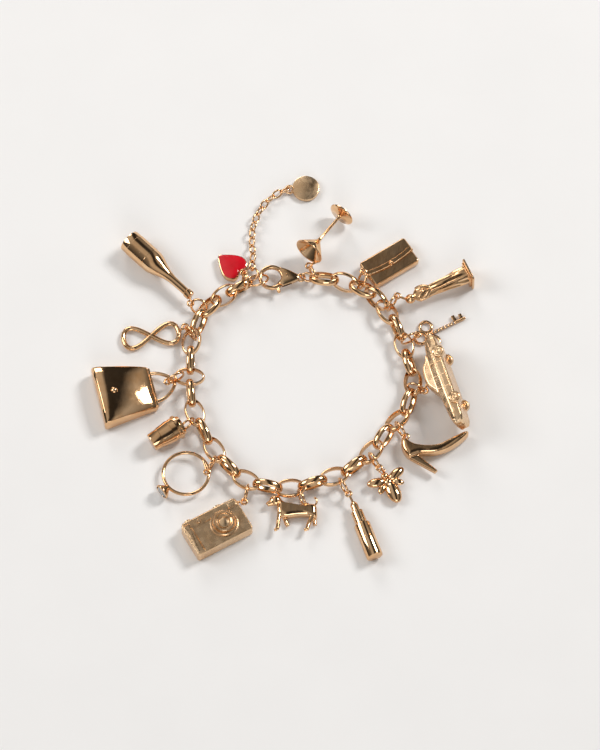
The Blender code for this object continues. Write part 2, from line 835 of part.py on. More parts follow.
def bee():
    steps = joined(
        ball(1.55, 5.2, 0, 0, 7, 4, (1.8, 1.0, 0.85)),
        ball(1.4, 2.0, 0, 0, 7, 3, (1.0, 1.0, 0.9)),
        ball(1.0, 0.0, 0, 0, 7, 3, (1.0, 1.1, 0.9)),
        rod((-0.6, 0.3, 0.3), (-1.7, 0.9, 0.5), 0.2, sides=4),
        rod((-0.6, -0.3, 0.3), (-1.7, -0.9, 0.5), 0.2, sides=4),
    )
    for x in (4.4, 5.9):
        band = revolve([(x - 0.3, 0), (x - 0.3, 1.6), (x + 0.3, 1.6), (x + 0.3, 0)], 7)
        steps += joined(moved(band, Matrix.Diagonal((1, 1, 0.88, 1))))
    for side in (-1, 1):
        for x, length, heading in ((1.4, 4.3, 108), (2.3, 3.7, 66)):
            wing = scaled(WING, length)
            shape = slab(wing, [(0.2, 0), (0.75, 0)])
            steps += joined(placed(shape, x, side * 0.4, 0, side * heading))
    return steps


def lipstick():
    end = LIPSTICK_LENGTH
    profile = [
        (0.0, 0),
        (0.1, 0.55),
        (0.9, 1.05),
        (3.0, 1.1),
        (3.0, 1.6),
        (6.9, 1.6),
        (6.9, 2.1),
        (7.1, 2.2),
        (end - 0.25, 2.2),
        (end, 1.95),
        (end, 0),
    ]
    return joined(revolve(profile, 10))


def dog():
    body = scaled(DOG_BODY, DOG_LENGTH)
    return joined(
        slab(body, [(0.0, -0.7), (0.7, 0), (2.4, 0), (3.1, -0.7)]),
        ball(1.55, -0.2, -0.1, 1.7, 7, 3, (1.15, 1.0, 0.85)),
        rod((-0.6, -0.5, 1.6), (-2.5, -1.2, 1.6), 1.0, 0.7),
        rod((0.6, 0.5, 2.2), (1.5, -1.6, 2.6), 0.5, 0.35, 5),
        rod((9.8, -1.6, 1.6), (10.6, 0.3, 1.9), 0.35, 0.2, 5),
        rod((0.9, -3.6, 2.3), (0.2, -8.7, 2.3), 0.8, 0.5),
        rod((2.2, -3.8, 0.9), (3.0, -7.0, 0.7), 0.75, 0.5),
        rod((8.9, -3.8, 2.2), (8.0, -8.8, 2.3), 1.0, 0.5),
        rod((9.3, -3.4, 0.9), (10.2, -6.8, 0.7), 0.85, 0.5),
        rod((0.2, -8.6, 2.3), (-0.7, -8.9, 2.3), 0.5, 0.45, 5),
        rod((8.0, -8.6, 2.3), (7.1, -8.9, 2.3), 0.5, 0.45, 5),
    )


def camera():
    a, b, depth = CAMERA_LENGTH / 2, CAMERA_WIDTH / 2, CAMERA_DEPTH
    body = soft_rectangle(CAMERA_LENGTH, CAMERA_WIDTH * 0.94, 1.2, 0, -0.25)
    plate = soft_rectangle(CAMERA_LENGTH * 0.97, CAMERA_WIDTH * 0.26, 0.5, 0, b * 0.72)
    lens = [
        (depth - 0.6, 0),
        (depth - 0.6, LENS_RADIUS),
        (depth + 0.7, LENS_RADIUS),
        (depth + 0.7, 3.0),
        (depth + 1.7, 2.9),
        (depth + 1.7, 2.2),
        (depth + 1.1, 1.9),
        (depth + 1.1, 0),
    ]
    return joined(
        slab(body, [(0, -0.5), (0.5, 0), (depth - 0.6, 0), (depth - 0.1, -0.5)]),
        slab(plate, [(0.3, -0.2), (0.6, 0), (depth - 0.15, 0), (depth + 0.25, -0.35)]),
        upright(revolve(lens, 14), 2.1, -0.3),
        slab(soft_rectangle(2.4, 1.7, 0.3, 6.4, b * 0.68), [(depth - 0.5, 0), (depth + 0.6, -0.15)]),
        slab(soft_rectangle(1.9, 6.4, 0.6, -6.4, -1.2), [(depth - 0.6, 0), (depth + 0.2, 0), (depth + 0.6, -0.4)]),
        button(0.6, depth - 0.3, depth + 0.8, -3.4, b * 0.66, 6),
        rod((-5.6, b - 0.5, depth / 2), (-5.6, b + 0.75, depth / 2), 0.9),
        rod((3.0, b - 0.5, depth / 2), (3.0, b + 0.55, depth / 2), 1.25),
    )


def stone_seat():
    """The finger ring's stone frame, from the ring's own: its X is the stone's own axis, outwards."""
    return Matrix.Translation((FINGER_RING / 2 + 1.55, 0, 0))


def finger_ring():
    cup = [
        (-2.0, 0),
        (-2.0, 0.7),
        (-0.1, STONE_RADIUS + 0.22),
        (0.3, STONE_RADIUS + 0.25),
        (0.55, STONE_RADIUS - 0.12),
        (0.2, STONE_RADIUS - 0.02),
        (-0.05, STONE_RADIUS + 0.0),
        (-1.35, 0.35),
        (-1.5, 0),
    ]
    steps = joined(wire_ring(FINGER_RING / 2 - FINGER_WIRE, FINGER_WIRE, 18, 5))
    return steps + joined(moved(revolve(cup, 10), stone_seat()))


def cut_stone():
    """A round stone with a table, a crown and a pointed back."""
    size = STONE_RADIUS - 0.13
    return revolve([(-1.1, 0), (-0.02, size), (0.12, size), (0.62, size * 0.58), (0.62, 0)], 8)


def cup():
    wide, narrow, end = CUP_WIDE / 2, CUP_NARROW / 2, CUP_LENGTH
    profile = [
        (0.0, 0),
        (0.0, wide * 0.79),
        (0.9, wide * 0.86),
        (1.0, wide * 0.98),
        (1.25, wide),
        (1.75, wide),
        (1.95, wide * 0.93),
        (3.3, wide * 0.89),
        (3.4, wide * 0.93),
        (6.6, narrow * 1.1),
        (6.7, narrow * 1.04),
        (end - 0.2, narrow * 0.98),
        (end, narrow * 0.9),
        (end, 0),
    ]
    return joined(revolve(profile, 11))


def handbag():
    top, base, high = BAG_TOP / 2, BAG_BASE / 2, BAG_HEIGHT
    sections = []
    rows = ((0.0, 0.96, 0.35), (0.03, 1.0, 0.5), (0.5, 1.0, 0.8), (0.93, 1.0, 1.0), (1.0, 0.94, 0.8))
    for share, wide, deep in rows:
        half = (top + (base - top) * share) * wide
        depth = BAG_DEPTH * deep
        x = share * high
        ease = min(0.9, depth * 0.25)
        sections.append(
            [
                Vector((x, -half, depth * 0.5)),
                Vector((x, -half + ease, depth)),
                Vector((x, half - ease, depth)),
                Vector((x, half, depth * 0.5)),
                Vector((x, half, ease * 0.6)),
                Vector((x, half - ease, 0)),
                Vector((x, -half + ease, 0)),
                Vector((x, -half, ease * 0.6)),
            ]
        )
    handle = [
        (0.8, 4.2, 1.6),
        (-1.6, 3.9, 1.7),
        (-3.6, 2.9, 1.8),
        (-5.2, 1.4, 2.0),
        (-5.8, 0.0, 2.0),
        (-5.2, -1.4, 2.0),
        (-3.6, -2.9, 1.8),
        (-1.6, -3.9, 1.7),
        (0.8, -4.2, 1.6),
    ]
    front = BAG_DEPTH * 0.93
    return joined(
        loft(sections),
        tube(handle, 0.5),
        box(-0.35, 0.6, -0.9 * top, 0.9 * top, 0.5, 2.3),
        button(0.95, front - 1.6, front + 0.25, high * 0.7, 0, 8, 0.25),
        box(high * 0.33, high * 0.42, -1.1, 1.1, front - 2.2, front - 0.35),
    )


def infinity():
    """Two bars, each half of the figure's line, that cross in the middle and run into each other's ends."""
    half, wide = INFINITY_LENGTH / 2 - INFINITY_WIRE, INFINITY_WIDTH / 2 - INFINITY_WIRE
    steps = []
    for first, radius in ((-6, INFINITY_WIRE), (174, INFINITY_WIRE - 0.03)):
        turns = [math.radians(first + 19.2 * i) for i in range(11)]
        path = [(half * math.cos(t), wide * math.sin(2 * t), 0) for t in turns]
        steps += joined(tube(path, radius, sides=5))
    return steps


def bottle():
    wide, end = BOTTLE_WIDTH / 2, BOTTLE_LENGTH
    profile = [
        (0.0, 0),
        (0.0, 1.1),
        (0.2, 1.3),
        (1.7, 1.3),
        (1.8, 1.0),
        (7.6, 1.2),
        (9.2, 1.55),
        (11.0, 2.15),
        (12.6, 2.85),
        (14.0, wide - 0.08),
        (15.6, wide - 0.08),
        (15.7, wide),
        (21.2, wide),
        (21.3, wide - 0.08),
        (end - 0.35, wide - 0.1),
        (end, wide - 0.5),
        (end, 0),
    ]
    return joined(revolve(profile, 11))


def heart():
    rim = scaled(HEART_RIM, HEART_LENGTH)
    base = slab(rim, [(0, -0.4), (0.4, 0), (HEART_DEPTH - 0.3, 0), (HEART_DEPTH, -0.25)])
    pocket = slab(rim, [(HEART_DEPTH * 0.5, -0.62), (HEART_DEPTH + 1.0, -0.62)])
    return joined(base) + cut(pocket)


def heart_enamel():
    rim = scaled(HEART_RIM, HEART_LENGTH)
    low = HEART_DEPTH * 0.5 + ENAMEL_GAP
    inset = -0.62 - ENAMEL_GAP
    return slab(rim, [(low, inset), (HEART_DEPTH - 0.05, inset), (HEART_DEPTH + 0.3, inset - 0.7)])


CHARMS = {
    "martini_glass": martini_glass,
    "clutch": clutch,
    "figure": figure,
    "key": key,
    "car": car,
    "shoe": shoe,
    "bee": bee,
    "lipstick": lipstick,
    "dog": dog,
    "camera": camera,
    "ring": finger_ring,
    "cup": cup,
    "handbag": handbag,
    "infinity": infinity,
    "bottle": bottle,
    "heart": heart,
}


def make_charm(name, look, frames):
    spot = place(*SPOTS[name])
    steps = [(operation, moved(shape, spot)) for operation, shape in CHARMS[name]()]
    shade(combined("charm_" + name, look, steps + joined(*hung(name, frames))))


# The clasp, the ring that it hooks, and the extender.


def clasp_place():
    return place(CLASP_X, CLASP_Y, CLASP_Z)


def reach_angle(radius, reach):
    """Where on the claw's lower side a point at that radius is that far from the pivot, in degrees."""
    pivot = math.hypot(PIVOT_X, PIVOT_Y)
    turn = math.acos((pivot**2 + radius**2 - reach**2) / (2 * pivot * radius))
    return math.degrees(math.atan2(PIVOT_Y, PIVOT_X) - turn)


def clasp_levels():
    half = CLASP_HEIGHT / 2
    return [(-half, -CLASP_EDGE), (-half + 0.25, 0), (half - 0.25, 0), (half, -CLASP_EDGE)]


def clasp_body(look):
    half = CLASP_HEIGHT / 2
    tip = reach_angle(CLAW_OUTER, LEVER_REACH + LEVER_GAP)
    claw = arc(CLAW_OUTER, 35, 360 + tip, 12) + arc(CLAW_INNER, 360 + tip, 35, 12)
    body = arc(CLAW_INNER, -45, 45, 5) + [
        (0.29 * CLASP_LENGTH, 0.42 * CLASP_LENGTH),
        (0.60 * CLASP_LENGTH, 0.31 * CLASP_LENGTH),
        (0.82 * CLASP_LENGTH, 0.19 * CLASP_LENGTH),
        (0.99 * CLASP_LENGTH, 0.09 * CLASP_LENGTH),
        (0.99 * CLASP_LENGTH, -0.09 * CLASP_LENGTH),
        (0.82 * CLASP_LENGTH, -0.19 * CLASP_LENGTH),
        (0.61 * CLASP_LENGTH, -0.28 * CLASP_LENGTH),
        (0.40 * CLASP_LENGTH, -0.36 * CLASP_LENGTH),
    ]
    reach = LEVER_REACH + LEVER_GAP
    mouth = arc(reach, -168, -136, 6, PIVOT_X, PIVOT_Y) + [(0.9, -5.4), (0.9, -1.0)]
    loop = moved(
        wire_ring(CLASP_LOOP, CLASP_LOOP_WIRE, 10),
        Matrix.Translation((CLASP_LENGTH + CLASP_LOOP - 0.4, 0, 0)),
    )
    steps = joined(slab(body, clasp_levels()), slab(claw, clasp_levels()), loop)
    steps += cut(slab(mouth, [(-2, 0), (2, 0)]), box(1.0, 5.3, -4.2, 1.6, -SLOT / 2, SLOT / 2))
    steps += joined(button(PIN_RADIUS, -half - 0.12, half + 0.12, PIVOT_X, PIVOT_Y, 10))
    frame = clasp_place()
    shade(combined("clasp_body", look, [(step, moved(shape, frame)) for step, shape in steps]))


def clasp_lever(look):
    tip_out = reach_angle(CLAW_OUTER, LEVER_REACH)
    tip_in = reach_angle(CLAW_INNER, LEVER_REACH)
    gate = arc(CLAW_OUTER, -52, tip_out, 4) + arc(CLAW_INNER, tip_in, -52, 6)
    root = [
        (PIVOT_X + 0.55, PIVOT_Y - 0.6),
        (PIVOT_X - 0.6, PIVOT_Y + 0.5),
        (1.45, -1.75),
        (1.1, -2.6),
        (1.6, -3.2),
        (2.3, -2.9),
    ]
    plate = LEVER_PLATE / 2
    hub = button(HUB_RADIUS, -plate, plate, PIVOT_X, PIVOT_Y, 12)
    hole = button(HUB_HOLE, -1, 1, PIVOT_X, PIVOT_Y, 10)
    thick = CLASP_HEIGHT / 2 - 0.05
    gate_levels = [(-thick, -CLASP_EDGE), (-thick + 0.25, 0), (thick - 0.25, 0), (thick, -CLASP_EDGE)]
    steps = joined(
        slab(gate, gate_levels),
        slab(root, [(-plate, 0), (plate, 0)]),
        hub,
        rod((1.55, -2.9, 0), (1.95, -4.1, 0), 0.5, 0.42, 8),
    )
    steps += cut(hole)
    frame = clasp_place()
    origin = frame @ Vector((PIVOT_X, PIVOT_Y, 0))
    shade(combined("clasp_lever", look, [(step, moved(shape, frame)) for step, shape in steps], origin))


def end_ring_place():
    return place(*END_RING_SPOT)


def walk(route, step):
    """Points one step apart along a route, each with the heading there."""
    points = [Vector(point) for point in route]
    here, found = points[0], [points[0]]
    for after in points[1:]:
        while (after - here).length >= step:
            here = here + (after - here).normalized() * step
            found.append(here)
    rows = []
    for i, point in enumerate(found):
        way = found[min(len(found) - 1, i + 1)] - found[max(0, i - 1)]
        rows.append((point.x, point.y, math.degrees(math.atan2(way.y, way.x))))
    return rows


def small_links(look):
    """The extender: small links whose ends meet inside each other, so it is one piece."""
    steps = []
    for i, (x, y, heading) in enumerate(walk(EXTENDER, SMALL_LENGTH - 4 * SMALL_WIRE + SMALL_BITE)):
        roll = -45 if i % 2 else 45
        shape = oval_ring(SMALL_LENGTH, SMALL_WIDTH, SMALL_WIRE, 7)
        steps += joined(placed(shape, x, y, SMALL_WIDTH / 2 + 0.1, heading, 0, roll))
    shade(combined("extender_chain", look, steps))


def tag_disc(look):
    disc = button(TAG_RADIUS, 0, TAG_THICKNESS, 0, 0, 18, 0.2)
    spot = Matrix.Translation((0.25 - TAG_RADIUS - TAG_EYE, 0, TAG_EYE_HEIGHT))
    eye = moved(wire_ring(TAG_EYE, EYE_WIRE, 9), spot @ Matrix.Rotation(math.radians(35), 4, "X"))
    frame = place(*TAG_SPOT)
    shade(combined("tag_disc", look, [(step, moved(shape, frame)) for step, shape in joined(disc, eye)]))


def settle():
    """Everything moved together, so that the whole is centred on the floor at the origin."""
    bpy.context.view_layer.update()
    made = [item for item in bpy.data.objects if item.type == "MESH"]
    corners = [item.matrix_world @ point.co for item in made for point in item.data.vertices]
    low = [min(point[k] for point in corners) for k in range(3)]
    high = [max(point[k] for point in corners) for k in range(3)]
    shift = Vector((-(low[0] + high[0]) / 2, -(low[1] + high[1]) / 2, -low[2]))
    for item in made:
        item.location += shift


def main():
    clear_scene()
    gold = material("gold", (0.83, 0.55, 0.31), 1.0, 0.14)
    enamel = material("red_enamel", (0.65, 0.01, 0.02), 0.0, 0.12)
    stone = material("clear_stone", (0.85, 0.87, 0.9), 0.0, 0.03)
    frames = link_frames()
    make_links(gold, frames)
    for name in CHARMS:
        make_charm(name, gold, frames)
    seat = place(*SPOTS["ring"]) @ stone_seat()
    object_of("ring_stone", moved(cut_stone(), seat), stone)
    shade(object_of("heart_enamel", moved(heart_enamel(), place(*SPOTS["heart"])), enamel))
    clasp_body(gold)
    clasp_lever(gold)
    shade(object_of("end_ring", moved(wire_ring(END_RING_RADIUS, END_RING_WIRE, 14), end_ring_place()), gold))
    oval = oval_ring(CLASP_RING_LENGTH, CLASP_RING_WIDTH, CLASP_RING_WIRE, 12)
    shade(object_of("clasp_ring", placed(oval, *CLASP_RING_SPOT), gold))
    ring = wire_ring(EXTENDER_RING_RADIUS, EXTENDER_RING_WIRE, 10)
    shade(object_of("extender_ring", placed(ring, *EXTENDER_RING_SPOT), gold))
    small_links(gold)
    tag_disc(gold)
    settle()


if __name__ == "__main__":
    main()
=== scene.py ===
"""How the charm bracelet looks: every solid of the frame gets a finer piece in its place, on a pale table.

Sizes are in millimetres until a mesh is made. The tables below use the layout's own frame, and the
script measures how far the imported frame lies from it.
"""

import json
import math
from collections import namedtuple

import bmesh
import bpy
from mathutils import Matrix, Vector

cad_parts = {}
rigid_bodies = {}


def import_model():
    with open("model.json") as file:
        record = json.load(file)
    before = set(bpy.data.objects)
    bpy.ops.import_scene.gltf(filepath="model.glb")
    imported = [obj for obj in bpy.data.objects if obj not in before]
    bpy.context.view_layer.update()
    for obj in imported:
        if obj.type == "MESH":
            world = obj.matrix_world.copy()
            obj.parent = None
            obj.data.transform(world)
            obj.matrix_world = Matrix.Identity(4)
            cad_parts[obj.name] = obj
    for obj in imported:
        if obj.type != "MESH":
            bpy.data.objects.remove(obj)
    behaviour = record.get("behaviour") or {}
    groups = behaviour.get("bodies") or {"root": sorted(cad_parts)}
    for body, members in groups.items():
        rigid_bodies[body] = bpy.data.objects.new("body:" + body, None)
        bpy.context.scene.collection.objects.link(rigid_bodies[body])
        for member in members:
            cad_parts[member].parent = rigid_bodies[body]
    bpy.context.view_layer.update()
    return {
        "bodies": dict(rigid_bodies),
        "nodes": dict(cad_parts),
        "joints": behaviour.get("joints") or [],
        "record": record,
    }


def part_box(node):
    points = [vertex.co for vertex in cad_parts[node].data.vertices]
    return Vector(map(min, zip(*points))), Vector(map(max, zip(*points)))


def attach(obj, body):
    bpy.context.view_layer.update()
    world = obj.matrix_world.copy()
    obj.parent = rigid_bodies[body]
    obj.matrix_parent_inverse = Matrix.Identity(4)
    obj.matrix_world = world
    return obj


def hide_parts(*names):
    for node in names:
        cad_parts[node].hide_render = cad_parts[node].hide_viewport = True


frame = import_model()

MM = 0.001

# The belcher link: an oval of flat-backed, round-fronted band.
LINK_LENGTH = 8.2
LINK_WIDTH = 5.3
LINK_WALL = 0.55
LINK_BAND = 1.8
LINK_LIFT = 0.05
LINK_STEPS = 64

# The closed chain's loop. Its start and end are (angle, share of the radius).
LOOP_RADIUS = 3.6585 * LINK_LENGTH
LOOP_X = 4.0
LOOP_Y = -4.0
LOOP_START = (88.0, 0.965)
LOOP_END = (-247.5, 1.0)

# The jump rings that carry the charms, and the small eye soldered to each charm.
RING_RADIUS = 2.25
RING_WIRE = 0.32
RING_CLEARANCE = 0.15
EYE_RADIUS = 0.75
EYE_WIRE = 0.3
EYE_BITE = 0.12
NECK = 0.32
RING_STEPS = 48
RING_SIDES = 14

# The clasp.
CLAW_INNER = 2.5
CLAW_OUTER = 3.6
CLASP_HEIGHT = 1.5
CLASP_ROUND = 0.42
CLASP_LENGTH = 7.2
CLASP_LOOP = 0.95
CLASP_LOOP_WIRE = 0.33
CLASP_LOOP_BITE = 0.4
CLASP_X = -3.3
CLASP_Y = 24.5
CLASP_Z = 2.3
SLOT = 0.8
SLOT_BOX = (1.0, 5.3, -4.2, 1.6)
LEVER_PLATE = 0.6
LEVER_GAP = 0.1
PIVOT_X = 4.1
PIVOT_Y = 0.45
LEVER_REACH = 6.35
THUMB = (1.95, -4.1, 0)
HUB_RADIUS = 0.9
PIN_RADIUS = 0.4
PIN_PROUD = 0.1
END_RING_RADIUS = 3.1
END_RING_WIRE = 0.3
CLASP_RING_LENGTH = 4.6
CLASP_RING_WIDTH = 3.4
CLASP_RING_WIRE = 0.3

# The extender and its tag.
SMALL_LENGTH = 3.3
SMALL_WIDTH = 2.3
SMALL_WIRE = 0.26
SMALL_BITE = 0.08
SMALL_LIFT = 0.1
SMALL_LEAN = 45
EXTENDER_RING_RADIUS = 1.75
EXTENDER_RING_WIRE = 0.28
TAG_RADIUS = 3.65
TAG_THICKNESS = 1.2
TAG_EYE = 1.0
TAG_EYE_HEIGHT = 0.98
TAG_EYE_BITE = 0.25
TAG_EYE_LEAN = 35

# The charms.
MARTINI_LENGTH = 15.0
MARTINI_RIM = 8.2
MARTINI_FOOT = 7.1
CLUTCH_LENGTH = 14.0
CLUTCH_WIDTH = 7.85
CLUTCH_DEPTH = 2.9
FIGURE_LENGTH = 18.3
PLINTH_SIDE = 6.4
KEY_LENGTH = 11.0
KEY_BOW = 1.64
CAR_LENGTH = 27.0
CAR_WIDTH = 8.6
WHEEL_RADIUS = 1.65
WHEELBASE = 13.9
CAR_REAR = 0.23
SHOE_LENGTH = 17.4
SHOE_THICKNESS = 4.0
LIPSTICK_LENGTH = 16.8
DOG_LENGTH = 11.5
CAMERA_LENGTH = 16.5
CAMERA_WIDTH = 10.2
CAMERA_DEPTH = 4.2
LENS_RADIUS = 3.7
FINGER_RING = 12.9
FINGER_WIRE = 0.46
STONE_RADIUS = 1.9
STONE_GAP = 0.13
SEAT_RISE = 1.55
CUP_LENGTH = 9.4
CUP_WIDE = 6.7
CUP_NARROW = 5.0
BAG_HEIGHT = 15.0
BAG_BASE = 17.4
BAG_TOP = 12.4
BAG_DEPTH = 6.0
INFINITY_LENGTH = 16.0
INFINITY_WIDTH = 7.1
INFINITY_WIRE = 0.65
BOTTLE_LENGTH = 23.4
BOTTLE_WIDTH = 6.5
HEART_LENGTH = 8.2
HEART_DEPTH = 1.9
ENAMEL_GAP = 0.06

# How many steps a turned charm has round it.
ROUND_STEPS = 72

Link = namedtuple("Link", "angle share turn roll lift nose")
LINKS = [
    Link(76.8, 0.96, 3, 37, -0.16, 1),
    Link(65.7, 0.986, -5, -46, 0.0, -2),
    Link(55.9, 1.003, 2, 30, 0.02, 1),
    Link(47.4, 1.006, 0, -60, 0.0, 0),
    Link(38.1, 0.985, 0, 13, -0.1, 0),
    Link(27.8, 0.975, 0, -85, 0.0, 0),
    Link(17.0, 0.964, 0, -5, -0.02, 0),
    Link(6.7, 0.972, 3, 66, 0.02, -1),
    Link(-4.6, 1.002, 5, -29, 0.14, 2),
    Link(-15.7, 0.995, 1, 64, -0.09, -5),
    Link(-27.4, 0.968, -10, -26, 0.04, -1),
    Link(-39.2, 0.954, 2, 65, 0.08, 1),
    Link(-50.1, 0.98, 5, -10, 0.19, 1),
    Link(-61.5, 1.003, 0, 87, -0.02, -7),
    Link(-72.9, 1.031, -5, -3, 0.06, 4),
    Link(-83.7, 1.057, 0, 92, 0.23, -8),
    Link(-94.1, 1.099, 2, 0, 0.0, 0),
    Link(-104.4, 1.11, 0, 88, 0.0, 2),
    Link(-114.5, 1.119, 0, -2, 0.12, -2),
    Link(-124.8, 1.079, 0, 87, -0.03, 0),
    Link(-135.65, 1.04, -4, -4, -0.07, -1),
    Link(-146.7, 1.001, 0, 86, -0.01, 2),
    Link(-158.0, 0.988, 0, -2, -0.0, 0),
    Link(-169.2, 0.969, -1, 86, 0.08, -2),
    Link(-178.6, 0.965, 87, -1, 0.01, 0),
    Link(-188.1, 0.966, 1, 94, 0.05, 2),
    Link(-198.9, 1.003, 2, 14, -0.24, 0),
    Link(-209.9, 1.021, 2, -67, -0.01, 4),
    Link(-220.0, 1.031, 2, 37, -0.02, -5),
    Link(-229.3, 1.015, -1, -34, 0.01, 2),
    Link(-237.921, 0.999, -0.82, -96.2, 0.0, 0.2),
]


# One row a charm's jump ring: the link it grips, how far along, how its centre rises from the link's
# wall, the way its open side points off the outward direction, its lean and its dip towards the charm.
# The charm's eye is joined to its neck, a point of the charm.
Hang = namedtuple("Hang", "link along rise yaw lean dip neck")
HANGS = {
    "martini_glass": Hang(1, -0.8, 92, -1, 2, -15, (0.3, -3.0, -2.2)),
    "clutch": Hang(3, -0.37, 55, 6, -28, -11, (0.4 - CLUTCH_LENGTH / 2, -2.0, 1.6)),
    "figure": Hang(5, -0.35, 69, 11, 1, -3, (0.2, 0.0, 0.0)),
    "key": Hang(7, -0.33, 123, 0, 0, 2, (-3.9, 0.1, 0.2)),
    "car": Hang(9, 0.65, -165, 3, 1, -2, (10.4, -4.0, 0.0)),
    "shoe": Hang(11, 0.36, -57, 1, 1, -1, (0.4, 0.0, 2.0)),
    "bee": Hang(13, 0.48, 68, 0, 0, 2, (-0.6, 0.3, 0.2)),
    "lipstick": Hang(15, -0.31, 2, 0, 0, 0, (0.3, 0.0, 0.0)),
    "dog": Hang(17, -0.62, -5, -5, 1, 4, (3.5, -1.9, 1.6)),
    "camera": Hang(19, -0.43, 2, 0, 2, 1, (7.0, 4.7, 2.2)),
    "ring": Hang(21, -0.71, -17, 1, 4, 2, (-5.9, 0.0, 0.1)),
    "cup": Hang(23, -0.56, -17, -1, 1, 0, (0.3, 0.0, 0.0)),
    "handbag": Hang(25, 0.95, 95, 1, 0, 0, (-5.9, 0.0, 2.0)),
    "infinity": Hang(27, 0.83, 163, 0, 2, 1, (-7.6, 0.0, 0.3)),
    "bottle": Hang(29, -0.39, 55, 1, -32, -3, (0.3, 0.0, 0.0)),
    "heart": Hang(31, 0.51, -15, 2, -15, 13, (0.2, 0.0, 0.9)),
}

# Where each charm lies: its own X runs away from its eye, and roll turns it about that.
Spot = namedtuple("Spot", "x y z heading pitch roll")
SPOTS = {
    "martini_glass": Spot(6.5, 30.7, 5.2, 53.5, -6, 0),
    "clutch": Spot(28.0, 29.0, 0.03, 33, 0, 0),
    "figure": Spot(32.5, 17.5, 3.25, 25, 0, 0),
    "key": Spot(38.2, 8.6, 0.5, 26.9, 0, 0),
    "car": Spot(38.4, 5.0, 6.0, -72.4, 0, 19.5),
    "shoe": Spot(31.0, -23.0, 0.03, 0, 0, 0),
    "bee": Spot(26.4, -32.9, 1.45, -63.4, 0, 0),
    "lipstick": Spot(18.0, -40.6, 2.25, -69.8, 0, 0),
    "dog": Spot(-2.0, -39.9, 0.03, 0, 0, 0),
    "camera": Spot(-17.6, -48.4, 0.03, 29.4, 0, 0),
    "ring": Spot(-25.7, -32.4, 2.1, -140, 0, 0),
    "cup": Spot(-26.9, -18.9, 3.55, -147.9, -4.5, 0),
    "handbag": Spot(-34.5, -7.4, 0.03, -166.3, 0, 0),
    "infinity": Spot(-35.2, 8.1, 0.85, -171.9, 0, 0),
    "bottle": Spot(-24.7, 18.6, 3.35, 135.2, 0, 0),
    "heart": Spot(-11.9, 26.7, 0.03, 140.3, 0, 0),
}

END_RING_SPOT = Spot(-7.308, 23.622, 2.502, 13.28, 3.722, -39.852)
EXTENDER_RING_SPOT = Spot(-8.64, 26.24, 0.86, 79.6, 15.3, -13.7)
CLASP_RING_SPOT = Spot(CLASP_LENGTH - 0.75, 24.56, 2.48, -5, 0, 68)
TAG_SPOT = Spot(5.75, 51.63, 0.05, 5.7, 0, 0)


# The extender's route, from the end ring to the tag, as (x, y).
EXTENDER = [
    (-8.5, 28.6), (-8.5, 30.6), (-8.2, 32.9), (-8.5, 35.2), (-8.7, 37.5), (-8.5, 39.8), (-7.9, 42),
    (-7, 44.1), (-5.9, 46.1), (-4.5, 47.9), (-2.8, 49.4), (-0.9, 50.5), (1, 51.3),
]

# Outlines, as shares of the charm's named length.
SHOE_SIDE = [
    (0, 0.03), (0.06, 0.024), (0.18, -0.058), (0.37, -0.088), (0.545, -0.07), (0.655, -0.017),
    (0.83, 0.08), (0.97, 0.142), (1, 0.092), (0.86, -0.046), (0.68, -0.166), (0.49, -0.224), (0.3, -0.23),
    (0.2, -0.262), (0.095, -0.288), (0.01, -0.172), (-0.018, -0.058),
]
SHOE_OPENING = [
    (0.045, 0.09), (0.05, -0.105), (0.2, -0.175), (0.46, -0.17), (0.6, -0.118), (0.625, 0.06),
]
SHOE_HEEL = [
    (0.052, -0.2), (0.24, -0.24), (0.535, -0.495), (0.495, -0.535), (0.115, -0.312),
]
DOG_BODY = [
    (0.06, 0.01), (0.23, -0.08), (0.48, -0.13), (0.78, -0.105), (0.905, -0.15), (0.93, -0.33),
    (0.9, -0.47), (0.7, -0.4), (0.42, -0.41), (0.23, -0.44), (0.08, -0.4), (0.01, -0.24),
]
CAR_CABIN = [
    (0.195, -0.06), (0.25, -0.115), (0.31, -0.158), (0.4, -0.172), (0.5, -0.166), (0.575, -0.125),
    (0.64, -0.06),
]
HEART_RIM = [
    (0, 0), (-0.09, 0.13), (-0.085, 0.3), (0.05, 0.43), (0.25, 0.46), (0.48, 0.36), (0.7, 0.2), (0.89, 0),
    (0.7, -0.2), (0.48, -0.36), (0.25, -0.46), (0.05, -0.43), (-0.085, -0.3), (-0.09, -0.13),
]


# The clasp's outer side, as shares of its length, from the claw back to the claw.
CLASP_SIDE = [
    (0.29, 0.42), (0.6, 0.31), (0.82, 0.19), (0.99, 0.09), (0.99, -0.09), (0.82, -0.19), (0.61, -0.28),
    (0.4, -0.36),
]


# A shape is a pair, its points in millimetres and its faces. These make, move and join shapes.


def moved(shape, matrix):
    points, faces = shape
    return [matrix @ Vector(point) for point in points], faces


def place(x=0.0, y=0.0, z=0.0, heading=0.0, pitch=0.0, roll=0.0):
    """Turned about its own X by roll, then nose up by pitch, then to its heading, and put at x, y, z."""
    return (
        Matrix.Translation((x, y, z))
        @ Matrix.Rotation(math.radians(heading), 4, "Z")
        @ Matrix.Rotation(math.radians(-pitch), 4, "Y")
        @ Matrix.Rotation(math.radians(roll), 4, "X")
    )


def placed(shape, x=0.0, y=0.0, z=0.0, heading=0.0, pitch=0.0, roll=0.0):
    return moved(shape, place(x, y, z, heading, pitch, roll))


def turns(count, start=0.5):
    """Angles evenly spaced round a circle, in radians."""
    return [2 * math.pi * (i + start) / count for i in range(count)]


